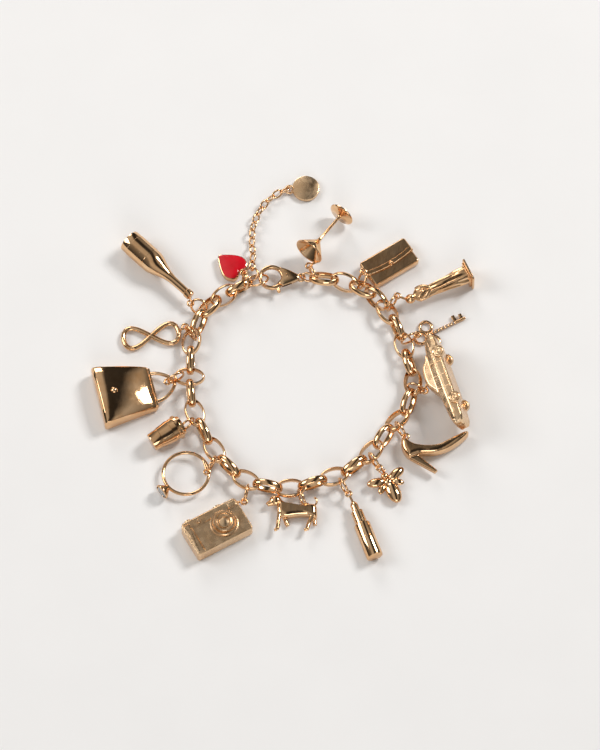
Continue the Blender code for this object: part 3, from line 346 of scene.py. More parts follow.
def loft(sections, closed=False):
    """A solid through sections that have the same number of points, or a ring of them if closed."""
    count = len(sections[0])
    points = [Vector(point) for section in sections for point in section]
    faces = [] if closed else [list(range(count))]
    for level in range(len(sections) if closed else len(sections) - 1):
        low = level * count
        high = (level + 1) % len(sections) * count
        for i in range(count):
            j = (i + 1) % count
            faces.append([low + i, low + j, high + j, high + i])
    if not closed:
        faces.append(list(range(len(points) - count, len(points))))
    return points, faces


def band_ring(length, width, section, segments):
    """An oval ring in the XY plane: its hole's axes are length and width, its section is (out, up)."""
    along, across = length / 2, width / 2
    sections = []
    for t in turns(segments):
        normal = Vector((across * math.cos(t), along * math.sin(t), 0)).normalized()
        foot = Vector((along * math.cos(t), across * math.sin(t), 0))
        sections.append([foot + normal * out + Vector((0, 0, up)) for out, up in section])
    return loft(sections, closed=True)


def wire_oval(length, width, wire, segments=RING_STEPS, sides=RING_SIDES):
    """A round wire bent to an oval in the XY plane, from the oval's outer length and width."""
    section = [(wire + wire * math.cos(t), wire * math.sin(t)) for t in turns(sides)]
    return band_ring(length - 4 * wire, width - 4 * wire, section, segments)


def wire_ring(radius, wire, segments=RING_STEPS, sides=RING_SIDES):
    """A round wire ring in the XY plane, radius being to the wire's centre."""
    outer = 2 * (radius + wire)
    return wire_oval(outer, outer, wire, segments, sides)


def revolve(profile, segments=ROUND_STEPS):
    """A solid turned about X from rows of (x, radius) that start and end on the axis."""
    points, faces, rows = [], [], []
    for x, radius in profile:
        if radius == 0:
            rows.append([len(points)] * segments)
            points.append(Vector((x, 0, 0)))
            continue
        rows.append([len(points) + i for i in range(segments)])
        points += [Vector((x, radius * math.cos(t), radius * math.sin(t))) for t in turns(segments)]
    for first, second in zip(rows, rows[1:]):
        for i in range(segments):
            j = (i + 1) % segments
            faces.append(list(dict.fromkeys([first[i], first[j], second[j], second[i]])))
    return points, faces


def upright(shape, x=0.0, y=0.0):
    """A shape turned about X stood on end, so that its X points up."""
    return placed(shape, x, y, pitch=90)


def button(radius, low, high, x, y, segments, edge=0.0):
    """A short round post from low to high."""
    profile = [(low, 0), (low, radius), (high - edge, radius), (high, radius - edge), (high, 0)]
    if not edge:
        del profile[2]
    return upright(revolve(profile, segments), x, y)


def signed_area(outline):
    return sum(a[0] * b[1] - b[0] * a[1] for a, b in zip(outline, outline[1:] + outline[:1])) / 2


def grown(outline, by):
    """A flat outline moved outwards by a distance, corner by corner."""
    sign = 1 if signed_area(outline) > 0 else -1
    rim = []
    for i, point in enumerate(outline):
        here = Vector(point)
        before = (here - Vector(outline[i - 1])).normalized()
        after = (Vector(outline[(i + 1) % len(outline)]) - here).normalized()
        side = Vector((before.y + after.y, -before.x - after.x)).normalized()
        spread = max(0.5, side.dot(Vector((before.y, -before.x))))
        rim.append(here + side * sign * by / spread)
    return rim


def slab(outline, levels):
    """An outline in the XY plane made solid through rows of (height, growth)."""
    sections = []
    for z, by in levels:
        rim = grown(outline, by) if by else [Vector(point) for point in outline]
        sections.append([Vector((point.x, point.y, z)) for point in rim])
    return loft(sections)


def box(x0, x1, y0, y1, z0, z1):
    return slab([(x0, y0), (x1, y0), (x1, y1), (x0, y1)], [(z0, 0), (z1, 0)])


def soft_rectangle(length, width, corner, x=0.0, y=0.0):
    """A rectangle's outline with each corner cut to a short slope."""
    a, b = length / 2, width / 2
    return [
        (x + a, y - b + corner), (x + a, y + b - corner), (x + a - corner, y + b), (x - a + corner, y + b),
        (x - a, y + b - corner), (x - a, y - b + corner), (x - a + corner, y - b), (x + a - corner, y - b),
    ]


def ball(radius, x=0.0, y=0.0, z=0.0, segments=28, steps=16, stretch=(1.0, 1.0, 1.0)):
    profile = []
    for i in range(steps + 1):
        turn = math.pi * i / steps
        size = 0 if i in (0, steps) else radius * math.sin(turn)
        profile.append((-radius * math.cos(turn), size))
    return moved(revolve(profile, segments), place(x, y, z) @ Matrix.Diagonal((*stretch, 1.0)))


def rod(start, end, radius, end_radius, sides):
    """A straight round bar between two points."""
    start, end = Vector(start), Vector(end)
    way = (end - start).normalized()
    across = way.orthogonal().normalized()
    other = way.cross(across)
    sections = []
    for at, size in ((start, radius), (end, end_radius)):
        sections.append([at + (across * math.cos(t) + other * math.sin(t)) * size for t in turns(sides, 0)])
    return loft(sections)


def tube(path, radius, sides):
    """A round bar along a path, mitred at each point. The path never runs straight up."""
    points = [Vector(point) for point in path]
    sections = []
    for i, here in enumerate(points):
        way = (points[min(i + 1, len(points) - 1)] - points[max(i - 1, 0)]).normalized()
        side = way.cross(Vector((0, 0, 1))).normalized()
        up = side.cross(way)
        sections.append([here + (side * math.cos(t) + up * math.sin(t)) * radius for t in turns(sides)])
    return loft(sections)


def arc(radius, start, end, steps, x=0.0, y=0.0):
    """Points round a circle from one angle to another, in degrees."""
    turns = [math.radians(start + (end - start) * i / steps) for i in range(steps + 1)]
    return [(x + radius * math.cos(t), y + radius * math.sin(t)) for t in turns]


def scaled(outline, size):
    return [(x * size, y * size) for x, y in outline]


def add_object(name, data):
    made = bpy.data.objects.new(name, data)
    bpy.context.scene.collection.objects.link(made)
    return made


def object_of(name, shape, look):
    points, faces = shape
    mesh = bpy.data.meshes.new(name)
    mesh.from_pydata([tuple(Vector(point) * MM) for point in points], [], faces)
    mesh.materials.append(look)
    made = add_object(name, mesh)
    shell = bmesh.new()
    shell.from_mesh(mesh)
    bmesh.ops.recalc_face_normals(shell, faces=shell.faces)
    shell.to_mesh(mesh)
    shell.free()
    return made


# The chain.


def loop_point(angle, share):
    turn = math.radians(angle)
    reach = LOOP_RADIUS * share
    return Vector((LOOP_X + reach * math.cos(turn), LOOP_Y + reach * math.sin(turn), 0))


def link_frames():
    """Each link's place: its X runs on along the chain and its Y points out of the loop."""
    route = [loop_point(*LOOP_START)]
    route += [loop_point(row.angle, row.share) for row in LINKS]
    route += [loop_point(*LOOP_END)]
    frames = []
    for i, row in enumerate(LINKS):
        way = route[i + 2] - route[i]
        heading = math.degrees(math.atan2(way.y, way.x)) + row.turn
        centre = route[i + 1]
        height = LINK_WIDTH / 2 + LINK_LIFT + row.lift
        frames.append(place(centre.x, centre.y, height, heading, row.nose, -row.roll))
    return frames


def ring_frame(hang, frames):
    """A charm's jump ring round a link's wall: its X points to the charm."""
    frame = frames[hang.link - 1]
    along = hang.along * (LINK_LENGTH / 2 - LINK_WALL)
    half_width = LINK_WIDTH / 2 - LINK_WALL
    out = half_width * math.sqrt(1 - hang.along**2)
    slope = Vector((half_width**2 * along, (LINK_LENGTH / 2 - LINK_WALL) ** 2 * out, 0)).normalized()
    wall = Vector((along, out, 0)) + slope * LINK_WALL / 2
    outward = frame.to_3x3() @ slope
    heading = math.degrees(math.atan2(frame[1][0], frame[0][0]))
    flat = heading + math.degrees(math.atan2(slope.y, slope.x)) + hang.yaw
    rise = math.radians(hang.rise)
    turn = math.radians(flat)
    way = Vector((math.cos(turn) * math.cos(rise), math.sin(turn) * math.cos(rise), math.sin(rise)))
    lie = way.dot(outward)
    spread = LINK_WALL / 2 * abs(lie) + LINK_BAND / 2 * math.sqrt(max(0, 1 - lie**2))
    hole = RING_RADIUS - RING_WIRE - RING_CLEARANCE
    room = hole**2 - (LINK_WALL / 2) ** 2 - (LINK_BAND / 2) ** 2
    reach = math.sqrt(spread**2 + room) - spread
    centre = frame @ wall + way * reach
    return place(centre.x, centre.y, centre.z, flat, -hang.dip, 90 - hang.lean)


def eye_point(frame):
    """Where the charm's own eye is, on the far side of its jump ring."""
    return frame @ Vector((RING_RADIUS + EYE_RADIUS - EYE_WIRE - RING_WIRE + EYE_BITE, 0, 0))


def clasp_place():
    return place(CLASP_X, CLASP_Y, CLASP_Z)


def reach_angle(radius, reach):
    """Where on the claw's lower side a point at that radius is that far from the pivot, in degrees."""
    pivot = math.hypot(PIVOT_X, PIVOT_Y)
    turn = math.acos((pivot**2 + radius**2 - reach**2) / (2 * pivot * radius))
    return math.degrees(math.atan2(PIVOT_Y, PIVOT_X) - turn)


def walk(route, step):
    """Points one step apart along a route, each with the heading there."""
    points = [Vector(point) for point in route]
    here, found = points[0], [points[0]]
    for after in points[1:]:
        while (after - here).length >= step:
            here = here + (after - here).normalized() * step
            found.append(here)
    rows = []
    for i, point in enumerate(found):
        way = found[min(len(found) - 1, i + 1)] - found[max(0, i - 1)]
        rows.append((point.x, point.y, math.degrees(math.atan2(way.y, way.x))))
    return rows


def curved(p0, p1, p2, p3, t):
    """A point between p1 and p2 on the smooth curve through all four."""
    square = 2 * p0 - 5 * p1 + 4 * p2 - p3
    cube = 3 * p1 - p0 - 3 * p2 + p3
    return 0.5 * (2 * p1 + (p2 - p0) * t + square * t**2 + cube * t**3)


def rounded(outline, steps=4):
    """A closed outline made smooth through its points."""
    found, count = [], len(outline)
    for i in range(count):
        near = [Vector(outline[(i + k) % count]) for k in (-1, 0, 1, 2)]
        found += [tuple(curved(*near, k / steps)) for k in range(steps)]
    return found


def softened(path, steps=5):
    """An open path made smooth through its points."""
    found, last = [], len(path) - 1
    for i in range(last):
        near = [Vector(path[min(max(i + k, 0), last)]) for k in (-1, 0, 1, 2)]
        found += [curved(*near, k / steps) for k in range(steps)]
    return found + [Vector(path[-1])]


def bent(path, radius, sides):
    """A round bar along the smooth curve through a path's points."""
    return tube(softened(path), radius, sides)


def cushion(depth, edge, low=0.0, steps=5):
    """Levels for a slab whose two rims are rounded over by edge."""
    rows = []
    for i in range(steps + 1):
        turn = math.radians(90 * i / steps)
        rows.append((low + edge * (1 - math.sin(turn)), -edge * (1 - math.cos(turn))))
    return rows[::-1] + [(2 * low + depth - z, by) for z, by in rows]


def all_of(*shapes):
    """Several shapes as one."""
    points, faces = [], []
    for shape in shapes:
        start = len(points)
        points += [Vector(point) for point in shape[0]]
        faces += [[start + i for i in face] for face in shape[1]]
    return points, faces


def measured_offset():
    """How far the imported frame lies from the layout, from the middle of a link that both have."""
    low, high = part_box("link_07")
    middle = (Vector(low) + Vector(high)) / 2
    return middle / MM - link_frames()[6].translation


def piece(
    name, shape, look, at, node=None, slot="gold", body="bracelet", cuts=(), voxel=0.0, smooth=0, **rim
):
    """One object from a shape in the layout's frame, with its own origin at the place given."""
    at = Matrix.Translation(at.translation)
    made = object_of(name, moved(shape, at.inverted()), look)
    if cuts:
        cut_out(made, [moved(cutter, at.inverted()) for cutter in cuts], look)
    finish(made, at, **rim)
    if voxel:
        melt(made, voxel, smooth)
    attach(made, body)
    if node:
        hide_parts(node)


def finish(made, at, bevel=0.0, rings=2, angle=40):
    """Puts an object in its place, with smooth faces and either a bevelled rim or sharp edges."""
    home = Matrix.Translation(OFFSET) @ at
    home.translation *= MM
    made.matrix_world = home
    made.data.shade_smooth()
    if bevel:
        rim = made.modifiers.new("rim", "BEVEL")
        rim.width = bevel * MM
        rim.segments = rings
        rim.limit_method = "ANGLE"
        rim.angle_limit = math.radians(30)
        even = made.modifiers.new("even", "WEIGHTED_NORMAL")
        even.keep_sharp = False
    else:
        made.data.set_sharp_from_angle(angle=math.radians(angle))


def melt(made, voxel, smooth):
    """Runs overlapping shapes into one cast form."""
    made.modifiers.clear()
    cast = made.modifiers.new("cast", "REMESH")
    cast.mode = "VOXEL"
    cast.voxel_size = voxel * MM
    cast.use_smooth_shade = True
    ease = made.modifiers.new("ease", "SMOOTH")
    ease.factor = 0.5
    ease.iterations = smooth


def cut_out(made, cutters, look):
    """Shapes in the object's own frame, cut out of it for good."""
    helpers = []
    for cutter in cutters:
        helper = object_of("cutter", cutter, look)
        step = made.modifiers.new("cut", "BOOLEAN")
        step.operation = "DIFFERENCE"
        step.solver = "EXACT"
        step.object = helper
        helpers.append(helper)
    bpy.context.view_layer.update()
    graph = bpy.context.evaluated_depsgraph_get()
    baked = bpy.data.meshes.new_from_object(made.evaluated_get(graph))
    made.modifiers.clear()
    made.data = baked
    baked.name = made.name
    for helper in helpers:
        bpy.data.objects.remove(helper, do_unlink=True)


# Materials. Every one is made of nodes on the object's own coordinates, so it stays put in every view.


def shader_of(name):
    made = bpy.data.materials.new(name)
    made.use_nodes = True
    tree = made.node_tree
    return made, tree, tree.nodes["Principled BSDF"]


def noise(tree, scale, detail=4.0, stretch=(1.0, 1.0, 1.0)):
    coordinates = tree.nodes.new("ShaderNodeTexCoord")
    spread = tree.nodes.new("ShaderNodeMapping")
    spread.inputs["Scale"].default_value = stretch
    made = tree.nodes.new("ShaderNodeTexNoise")
    made.inputs["Scale"].default_value = scale
    made.inputs["Detail"].default_value = detail
    tree.links.new(coordinates.outputs["Object"], spread.inputs["Vector"])
    tree.links.new(spread.outputs["Vector"], made.inputs["Vector"])
    return made.outputs["Fac"]


def ramp(tree, value, low, high):
    """The value spread between two numbers or two colours."""
    made = tree.nodes.new("ShaderNodeValToRGB")
    for mark, spot, tone in zip(made.color_ramp.elements, (0.3, 0.7), (low, high)):
        mark.position = spot
        mark.color = (*tone, 1) if isinstance(tone, tuple) else (tone, tone, tone, 1)
    tree.links.new(value, made.inputs["Fac"])
    return made.outputs["Color"]


def vary(tree, shader, socket, scale, low, high, detail=4.0):
    """Feeds a socket of the shader from noise spread between two values."""
    tree.links.new(ramp(tree, noise(tree, scale, detail), low, high), shader.inputs[socket])


def bump(tree, value, depth, after=None):
    made = tree.nodes.new("ShaderNodeBump")
    made.inputs["Strength"].default_value = 1.0
    made.inputs["Distance"].default_value = depth * MM
    tree.links.new(value, made.inputs["Height"])
    if after:
        tree.links.new(after, made.inputs["Normal"])
    return made.outputs["Normal"]


def gold(name, rough=(0.08, 0.2), dents=0.02, grain=0.003, deep=(0.73, 0.42, 0.2), pale=(0.86, 0.58, 0.34)):
    """Polished gold plate with a slightly uneven surface, fine scratches and small changes of colour."""
    made, tree, shader = shader_of(name)
    shader.inputs["Metallic"].default_value = 1.0
    vary(tree, shader, "Base Color", 220.0, deep, pale)
    vary(tree, shader, "Roughness", 700.0, *rough, detail=6.0)
    wavy = bump(tree, noise(tree, 260.0, 2.0), dents)
    fine = bump(tree, noise(tree, 2600.0, 1.0, (1.0, 0.4, 1.0)), grain, after=wavy)
    tree.links.new(fine, shader.inputs["Normal"])
    return made


def red_enamel():
    made, tree, shader = shader_of("enamel")
    vary(tree, shader, "Base Color", 400.0, (0.56, 0.004, 0.012), (0.68, 0.008, 0.02))
    vary(tree, shader, "Roughness", 900.0, 0.1, 0.22)
    shader.inputs["Coat Weight"].default_value = 0.6
    shader.inputs["Coat Roughness"].default_value = 0.05
    tree.links.new(bump(tree, noise(tree, 300.0, 2.0), 0.015), shader.inputs["Normal"])
    return made


def clear_stone():
    made, tree, shader = shader_of("stone")
    shader.inputs["IOR"].default_value = 2.1
    shader.inputs["Transmission Weight"].default_value = 0.75
    vary(tree, shader, "Base Color", 900.0, (0.9, 0.93, 0.97), (1.0, 1.0, 1.0))
    vary(tree, shader, "Roughness", 2500.0, 0.0, 0.05)
    tree.links.new(bump(tree, noise(tree, 3000.0), 0.002), shader.inputs["Normal"])
    return made


def pale_table():
    made, tree, shader = shader_of("table")
    vary(tree, shader, "Base Color", 40.0, (0.86, 0.855, 0.85), (0.875, 0.87, 0.865))
    vary(tree, shader, "Roughness", 300.0, 0.75, 0.9)
    tree.links.new(bump(tree, noise(tree, 1500.0), 0.01), shader.inputs["Normal"])
    shader.inputs["Specular IOR Level"].default_value = 0.1
    return made


OFFSET = measured_offset()
CHAIN = gold("chain_gold", (0.07, 0.16), 0.006, 0.002)
POLISHED = gold("charm_gold", (0.04, 0.12), 0.02, 0.002)
SATIN = gold("satin_gold", (0.2, 0.32), 0.006, 0.0015, (0.76, 0.49, 0.27), (0.86, 0.62, 0.39))
CAST = gold("cast_gold", (0.12, 0.24), 0.03, 0.002)
ENAMEL = red_enamel()
STONE = clear_stone()


# The chain and the rings.


def band_section():
    """A belcher link's section: flat inside, rounded outside."""
    half, wall = LINK_BAND / 2, LINK_WALL
    front = [(0.30, 0.97), (0.55, 0.86), (0.76, 0.66), (0.91, 0.4), (1.0, 0.0)]
    side = [(0.0, 0.93), (0.06, 0.99)] + front
    rim = [(wall * out, half * up) for out, up in side]
    return [(out, -up) for out, up in rim] + [(out, up) for out, up in reversed(rim[:-1])]


def dress_chain(frames):
    hole_length = LINK_LENGTH - 2 * LINK_WALL
    hole_width = LINK_WIDTH - 2 * LINK_WALL
    shape = band_ring(hole_length, hole_width, band_section(), LINK_STEPS)
    for i, at in enumerate(frames, 1):
        piece(f"belcher_{i:02d}", moved(shape, at), CHAIN, at, f"link_{i:02d}")


def hung_ring(name, frames):
    """The charm's jump ring with its eye and its neck."""
    hang = HANGS[name]
    at = ring_frame(hang, frames)
    eye = eye_point(at)
    end = place(*SPOTS[name]) @ Vector(hang.neck)
    way = (end - eye).normalized()
    start = eye + Vector((way.x, way.y, 0)).normalized() * EYE_RADIUS
    heading = math.degrees(math.atan2(way.y, way.x))
    return all_of(
        moved(wire_ring(RING_RADIUS, RING_WIRE), at),
        placed(wire_ring(EYE_RADIUS, EYE_WIRE), eye.x, eye.y, eye.z, heading),
        rod(start, end, NECK, NECK, 16),
    )


def dress_rings():
    oval = wire_oval(CLASP_RING_LENGTH, CLASP_RING_WIDTH, CLASP_RING_WIRE)
    small = wire_ring(EXTENDER_RING_RADIUS, EXTENDER_RING_WIRE)
    rings = (
        ("hooked_ring", "end_ring", END_RING_SPOT, wire_ring(END_RING_RADIUS, END_RING_WIRE)),
        ("oval_ring", "clasp_ring", CLASP_RING_SPOT, oval),
        ("small_ring", "extender_ring", EXTENDER_RING_SPOT, small),
    )
    for name, node, spot, shape in rings:
        at = place(*spot)
        piece(name, moved(shape, at), CHAIN, at, node)


def dress_extender():
    small = wire_oval(SMALL_LENGTH, SMALL_WIDTH, SMALL_WIRE, 32, 10)
    high = SMALL_WIDTH / 2 + SMALL_LIFT
    shapes = []
    for i, (x, y, heading) in enumerate(walk(EXTENDER, SMALL_LENGTH - 4 * SMALL_WIRE + SMALL_BITE)):
        shapes.append(placed(small, x, y, high, heading, 0, -SMALL_LEAN if i % 2 else SMALL_LEAN))
    piece("cable_links", all_of(*shapes), CHAIN, place(*EXTENDER[0], SMALL_WIDTH / 2), "extender_chain")
    at = place(*TAG_SPOT)
    rim, high = TAG_RADIUS, TAG_THICKNESS
    profile = [(0, 0), (0, rim - 0.28), (0.06, rim - 0.12), (0.2, rim - 0.06), (high - 0.2, rim - 0.06)]
    profile += [(high - 0.06, rim - 0.12), (high, rim - 0.3), (high, 0)]
    eye = place(TAG_EYE_BITE - TAG_RADIUS - TAG_EYE, 0, TAG_EYE_HEIGHT, roll=TAG_EYE_LEAN)
    tag = all_of(upright(revolve(profile)), moved(wire_ring(TAG_EYE, EYE_WIRE), eye))
    piece("plain_tag", moved(tag, at), SATIN, at, "tag_disc")


# The clasp.


def hooked_bar(start, reach, full_turns, high, steps, sides=20):
    """A rounded bar round the claw's circle, its tip cut to an arc about the lever's pin."""
    sections = []
    middle, half = (CLAW_OUTER + CLAW_INNER) / 2, (CLAW_OUTER - CLAW_INNER) / 2
    for i in range(steps + 1):
        share = i / steps
        slim = 1 - 0.18 * share
        rim = []
        for turn in turns(sides, 0):
            out = math.copysign(abs(math.cos(turn)) ** 0.75, math.cos(turn))
            up = math.copysign(abs(math.sin(turn)) ** 0.75, math.sin(turn))
            radius = middle + half * slim * out
            end = full_turns * 360 + reach_angle(radius, reach)
            angle = math.radians(start + (end - start) * share)
            rim.append(Vector((radius * math.cos(angle), radius * math.sin(angle), high * up)))
        sections.append(rim)
    return loft(sections)


def dress_clasp():
    at = clasp_place()
    half, plate = CLASP_HEIGHT / 2, LEVER_PLATE / 2
    outer = softened(scaled(CLASP_SIDE, CLASP_LENGTH))
    body = arc(CLAW_INNER, -45, 45, 14) + [tuple(point) for point in outer]
    case = moved(slab(body, cushion(CLASP_HEIGHT, CLASP_ROUND, -half)), at)
    slot = moved(box(*SLOT_BOX, -SLOT / 2, SLOT / 2), at)
    piece("clasp_case", case, CHAIN, at, "clasp_body", cuts=[slot])
    claw = hooked_bar(35, LEVER_REACH + LEVER_GAP, 1, half, 48)
    piece("clasp_claw", moved(claw, at), CHAIN, at)
    loop = placed(wire_ring(CLASP_LOOP, CLASP_LOOP_WIRE), CLASP_LENGTH + CLASP_LOOP - CLASP_LOOP_BITE)
    pin = button(PIN_RADIUS, -half - PIN_PROUD, half + PIN_PROUD, PIVOT_X, PIVOT_Y, 32, 0.08)
    piece("clasp_pin_and_loop", moved(all_of(loop, pin), at), CHAIN, at)
    root = [(PIVOT_X + 0.55, PIVOT_Y - 0.6), (PIVOT_X - 0.6, PIVOT_Y + 0.5)]
    root += [(1.45, -1.75), (1.1, -2.6), (1.6, -3.2), (2.3, -2.9)]
    lever = all_of(
        hooked_bar(-52, LEVER_REACH, 0, half - 0.05, 16),
        slab(root, [(-plate, 0), (plate, 0)]),
        button(HUB_RADIUS, -plate, plate, PIVOT_X, PIVOT_Y, 40),
        rod((1.55, -2.9, 0), THUMB, 0.5, 0.42, 20),
        ball(0.44, *THUMB, 20, 10),
    )
    pivot = at @ place(PIVOT_X, PIVOT_Y)
    piece("clasp_thumb_lever", moved(lever, at), CHAIN, pivot, "clasp_lever", body="lever")


# The charms. Each gives its pieces in its own frame, as rows of (name, shape, look, how it is finished).


def glass_pieces():
    rim, foot, end = MARTINI_RIM / 2, MARTINI_FOOT / 2, MARTINI_LENGTH
    depth = 0.29 * end
    profile = [
        (depth - 0.75, 0), (depth - 0.85, 0.12), (0.16, rim - 0.42), (0.05, rim - 0.3), (0.02, rim - 0.16),
        (0.06, rim - 0.04), (0.16, rim), (0.3, rim - 0.02), (depth - 0.3, 0.86), (depth + 0.1, 0.62),
        (depth + 0.8, 0.44), (depth + 1.6, 0.4), (end - 1.9, 0.4), (end - 1.3, 0.55), (end - 1.0, 0.85),
        (end - 0.55, foot - 0.3), (end - 0.36, foot - 0.05), (end - 0.24, foot), (end - 0.12, foot - 0.02),
        (end - 0.02, foot - 0.14), (end, foot - 0.3), (end, 0),
    ]
    return [("glass", revolve(profile), CHAIN, {})]


def clutch_pieces():
    depth = CLUTCH_DEPTH
    body = soft_rectangle(CLUTCH_LENGTH, CLUTCH_WIDTH, 0.5)
    a, b = CLUTCH_LENGTH / 2 + 0.15, CLUTCH_WIDTH / 2 + 0.12
    drop = [(-1, 0.05), (-0.75, 0.1), (-0.35, 0.145), (0, 0.16), (0.35, 0.145), (0.75, 0.1), (1, 0.05)]
    edge = [tuple(point) for point in softened([(x * a, -y * CLUTCH_WIDTH) for x, y in drop], 4)]
    flap = [(a, b - 0.5), (a - 0.5, b), (-a + 0.5, b), (-a, b - 0.5)] + edge
    lines = []
    for up, radius, sides in ((0.18, 0.14, 10), (1.35, 0.07, 8)):
        lines.append(tube([(x, y + up, depth - 0.02) for x, y in edge], radius, sides))
    levels = [(0, -0.5), (0.4, -0.1), (0.8, 0), (depth - 0.9, 0), (depth - 0.5, -0.12), (depth - 0.3, -0.4)]
    flap_levels = [(0.9, 0), (depth - 0.3, 0), (depth, -0.3)]
    knob = ball(0.62, 0.1, -0.6, depth + 0.1, 28, 14)
    return [
        ("body", slab(body, levels), POLISHED, {"bevel": 0.16, "rings": 3}),
        ("flap", slab(flap, flap_levels), POLISHED, {"bevel": 0.14, "rings": 3}),
        ("welt", all_of(*lines), POLISHED, {}),
        ("stud", all_of(knob, button(0.75, depth - 0.6, depth - 0.1, 0.1, -0.6, 28, 0.1)), POLISHED, {}),
    ]


def fold_section(x, half_y, half_z, deep, sides=60):
    """A robe's section: folds that drift round it along its length."""
    section = []
    drift = 0.35 * x
    for turn in turns(sides, 0):
        size = 1 + deep * (math.sin(7 * turn + drift) + 0.6 * math.sin(11 * turn - 1.7 * drift))
        section.append(Vector((x, half_y * size * math.cos(turn), half_z * size * math.sin(turn))))
    return section


def figure_pieces():
    end, half = FIGURE_LENGTH, PLINTH_SIDE / 2
    rows = (
        (2, 0.75, 0.75, 0), (2.5, 1.35, 1, 0.01), (3.2, 1.95, 1.22, 0.02), (4.4, 2, 1.3, 0.03),
        (5.6, 1.8, 1.28, 0.035), (7, 1.6, 1.25, 0.04), (8.8, 1.7, 1.35, 0.05), (10.5, 1.85, 1.5, 0.055),
        (12.5, 2, 1.65, 0.06), (14.5, 2.2, 1.8, 0.06), (16, 2.35, 1.95, 0.06),
        (end - 0.9, 2.45, 2.05, 0.05),
    )
    hood = (
        ball(1.32, 1.0, 0, -0.2, stretch=(1.05, 1.0, 0.9)),
        ball(0.98, 1.22, 0, 0.42, stretch=(1.12, 0.86, 0.9)),
        rod((2.3, 0, 0.1), (1.6, 0, 0.3), 0.5, 0.5, 20),
    )
    sleeves = (
        bent([(3.2, 1.7, 0.4), (4.6, 1.7, 0.9), (5.9, 0.9, 1.45), (6.6, 0.1, 1.6)], 0.52, 18),
        bent([(3.2, -1.7, 0.4), (4.6, -1.7, 0.9), (5.9, -0.9, 1.4), (6.7, -0.1, 1.5)], 0.52, 18),
        ball(0.42, 6.55, 0.0, 1.72, 16, 10, (1.3, 1.2, 0.7)),
        bent([(5.9, 0.7, 1.1), (8.6, 0.9, 1.3), (11.5, 0.8, 1.6), (13.6, 0.9, 1.8)], 0.22, 12),
        bent([(6.1, -0.7, 1.1), (9.0, -0.9, 1.35), (12.2, -0.9, 1.7), (14.8, -0.8, 1.9)], 0.2, 12),
        bent([(3.0, -1.2, 0.9), (4.4, 0.0, 1.35), (5.2, 1.2, 1.05)], 0.2, 12),
    )
    features = (
        (0.16, 1.2, 0, 1.22, (1.7, 0.7, 0.8)),
        (0.2, 1.0, 0.32, 1.08, (0.5, 1.2, 0.6)),
        (0.2, 1.0, -0.32, 1.08, (0.5, 1.2, 0.6)),
        (0.16, 1.55, 0, 1.14, (0.45, 1.4, 0.6)),
        (0.24, 1.9, 0, 0.98, (0.8, 1.1, 0.8)),
    )
    face = [ball(*size_and_place, 12, 8, stretch) for *size_and_place, stretch in features]
    low, high = 0.8 * half, half - 0.02
    plinth = all_of(
        box(end - 1.1, end - 0.6, -low, low, -low, low),
        box(end - 0.65, end - 0.02, -high, high, -high, high),
    )
    robe = loft([fold_section(*row) for row in rows])
    return [
        ("robe", all_of(robe, *hood, *sleeves, *face), CAST, {"voxel": 0.085, "smooth": 4}),
        ("plinth", plinth, CAST, {"bevel": 0.12, "rings": 3}),
    ]


def key_pieces():
    bow = KEY_BOW + 0.68
    shapes = []
    for x, y in ((-bow, 0), (bow * 0.15, bow), (bow * 0.15, -bow)):
        for radius, wire in ((KEY_BOW, 0.34), (KEY_BOW - 0.12, 0.36)):
            shapes.append(placed(wire_ring(radius, wire, 56, 14), x, y))
    end = KEY_LENGTH
    shank = all_of(
        rod((0.1, 0.03, 0.02), (end - 0.1, 0.03, 0.02), 0.38, 0.38, 20),
        box(0.70 * end, 0.78 * end, 0.1, 2.05, -0.33, 0.33),
        box(0.87 * end, 0.95 * end, 0.1, 1.65, -0.33, 0.33),
    )
    seat = revolve([(0.1, 0), (0.1, 0.38), (0.42, 0.43), (0.46, 0.36), (0.4, 0)], 20)
    stone = revolve([(0.3, 0), (0.42, 0.33), (0.56, 0.19), (0.56, 0)], 8)
    along = [1.5 + 0.98 * i for i in range(7)]
    return [
        ("bows", all_of(*shapes, ball(0.7, stretch=(1, 1, 0.65))), CHAIN, {}),
        ("shank", shank, CHAIN, {"bevel": 0.06}),
        ("seats", all_of(*(upright(seat, x) for x in along)), CHAIN, {}),
        ("stones", all_of(*(upright(stone, x) for x in along)), STONE, {"slot": "clear_stone", "angle": 5}),
    ]


def car_section(share, half, roof, under):
    """A section across the body, from its roof round to its floor."""
    upper = ((-1, 0.42), (-0.86, 0.1), (-0.6, 0.0), (0, -0.03), (0.6, 0.0), (0.86, 0.1), (1, 0.42))
    lower = ((1.02, 0.62), (0.98, 0.9), (0.85, 1.0), (0, 1.0), (-0.85, 1.0), (-0.98, 0.9), (-1.02, 0.62))
    rows = [(out * half, up) for out, up in upper] + [(out * half * 0.98, up) for out, up in lower]
    return [Vector((share * CAR_LENGTH, roof + up * (under - roof), z)) for z, up in rows]


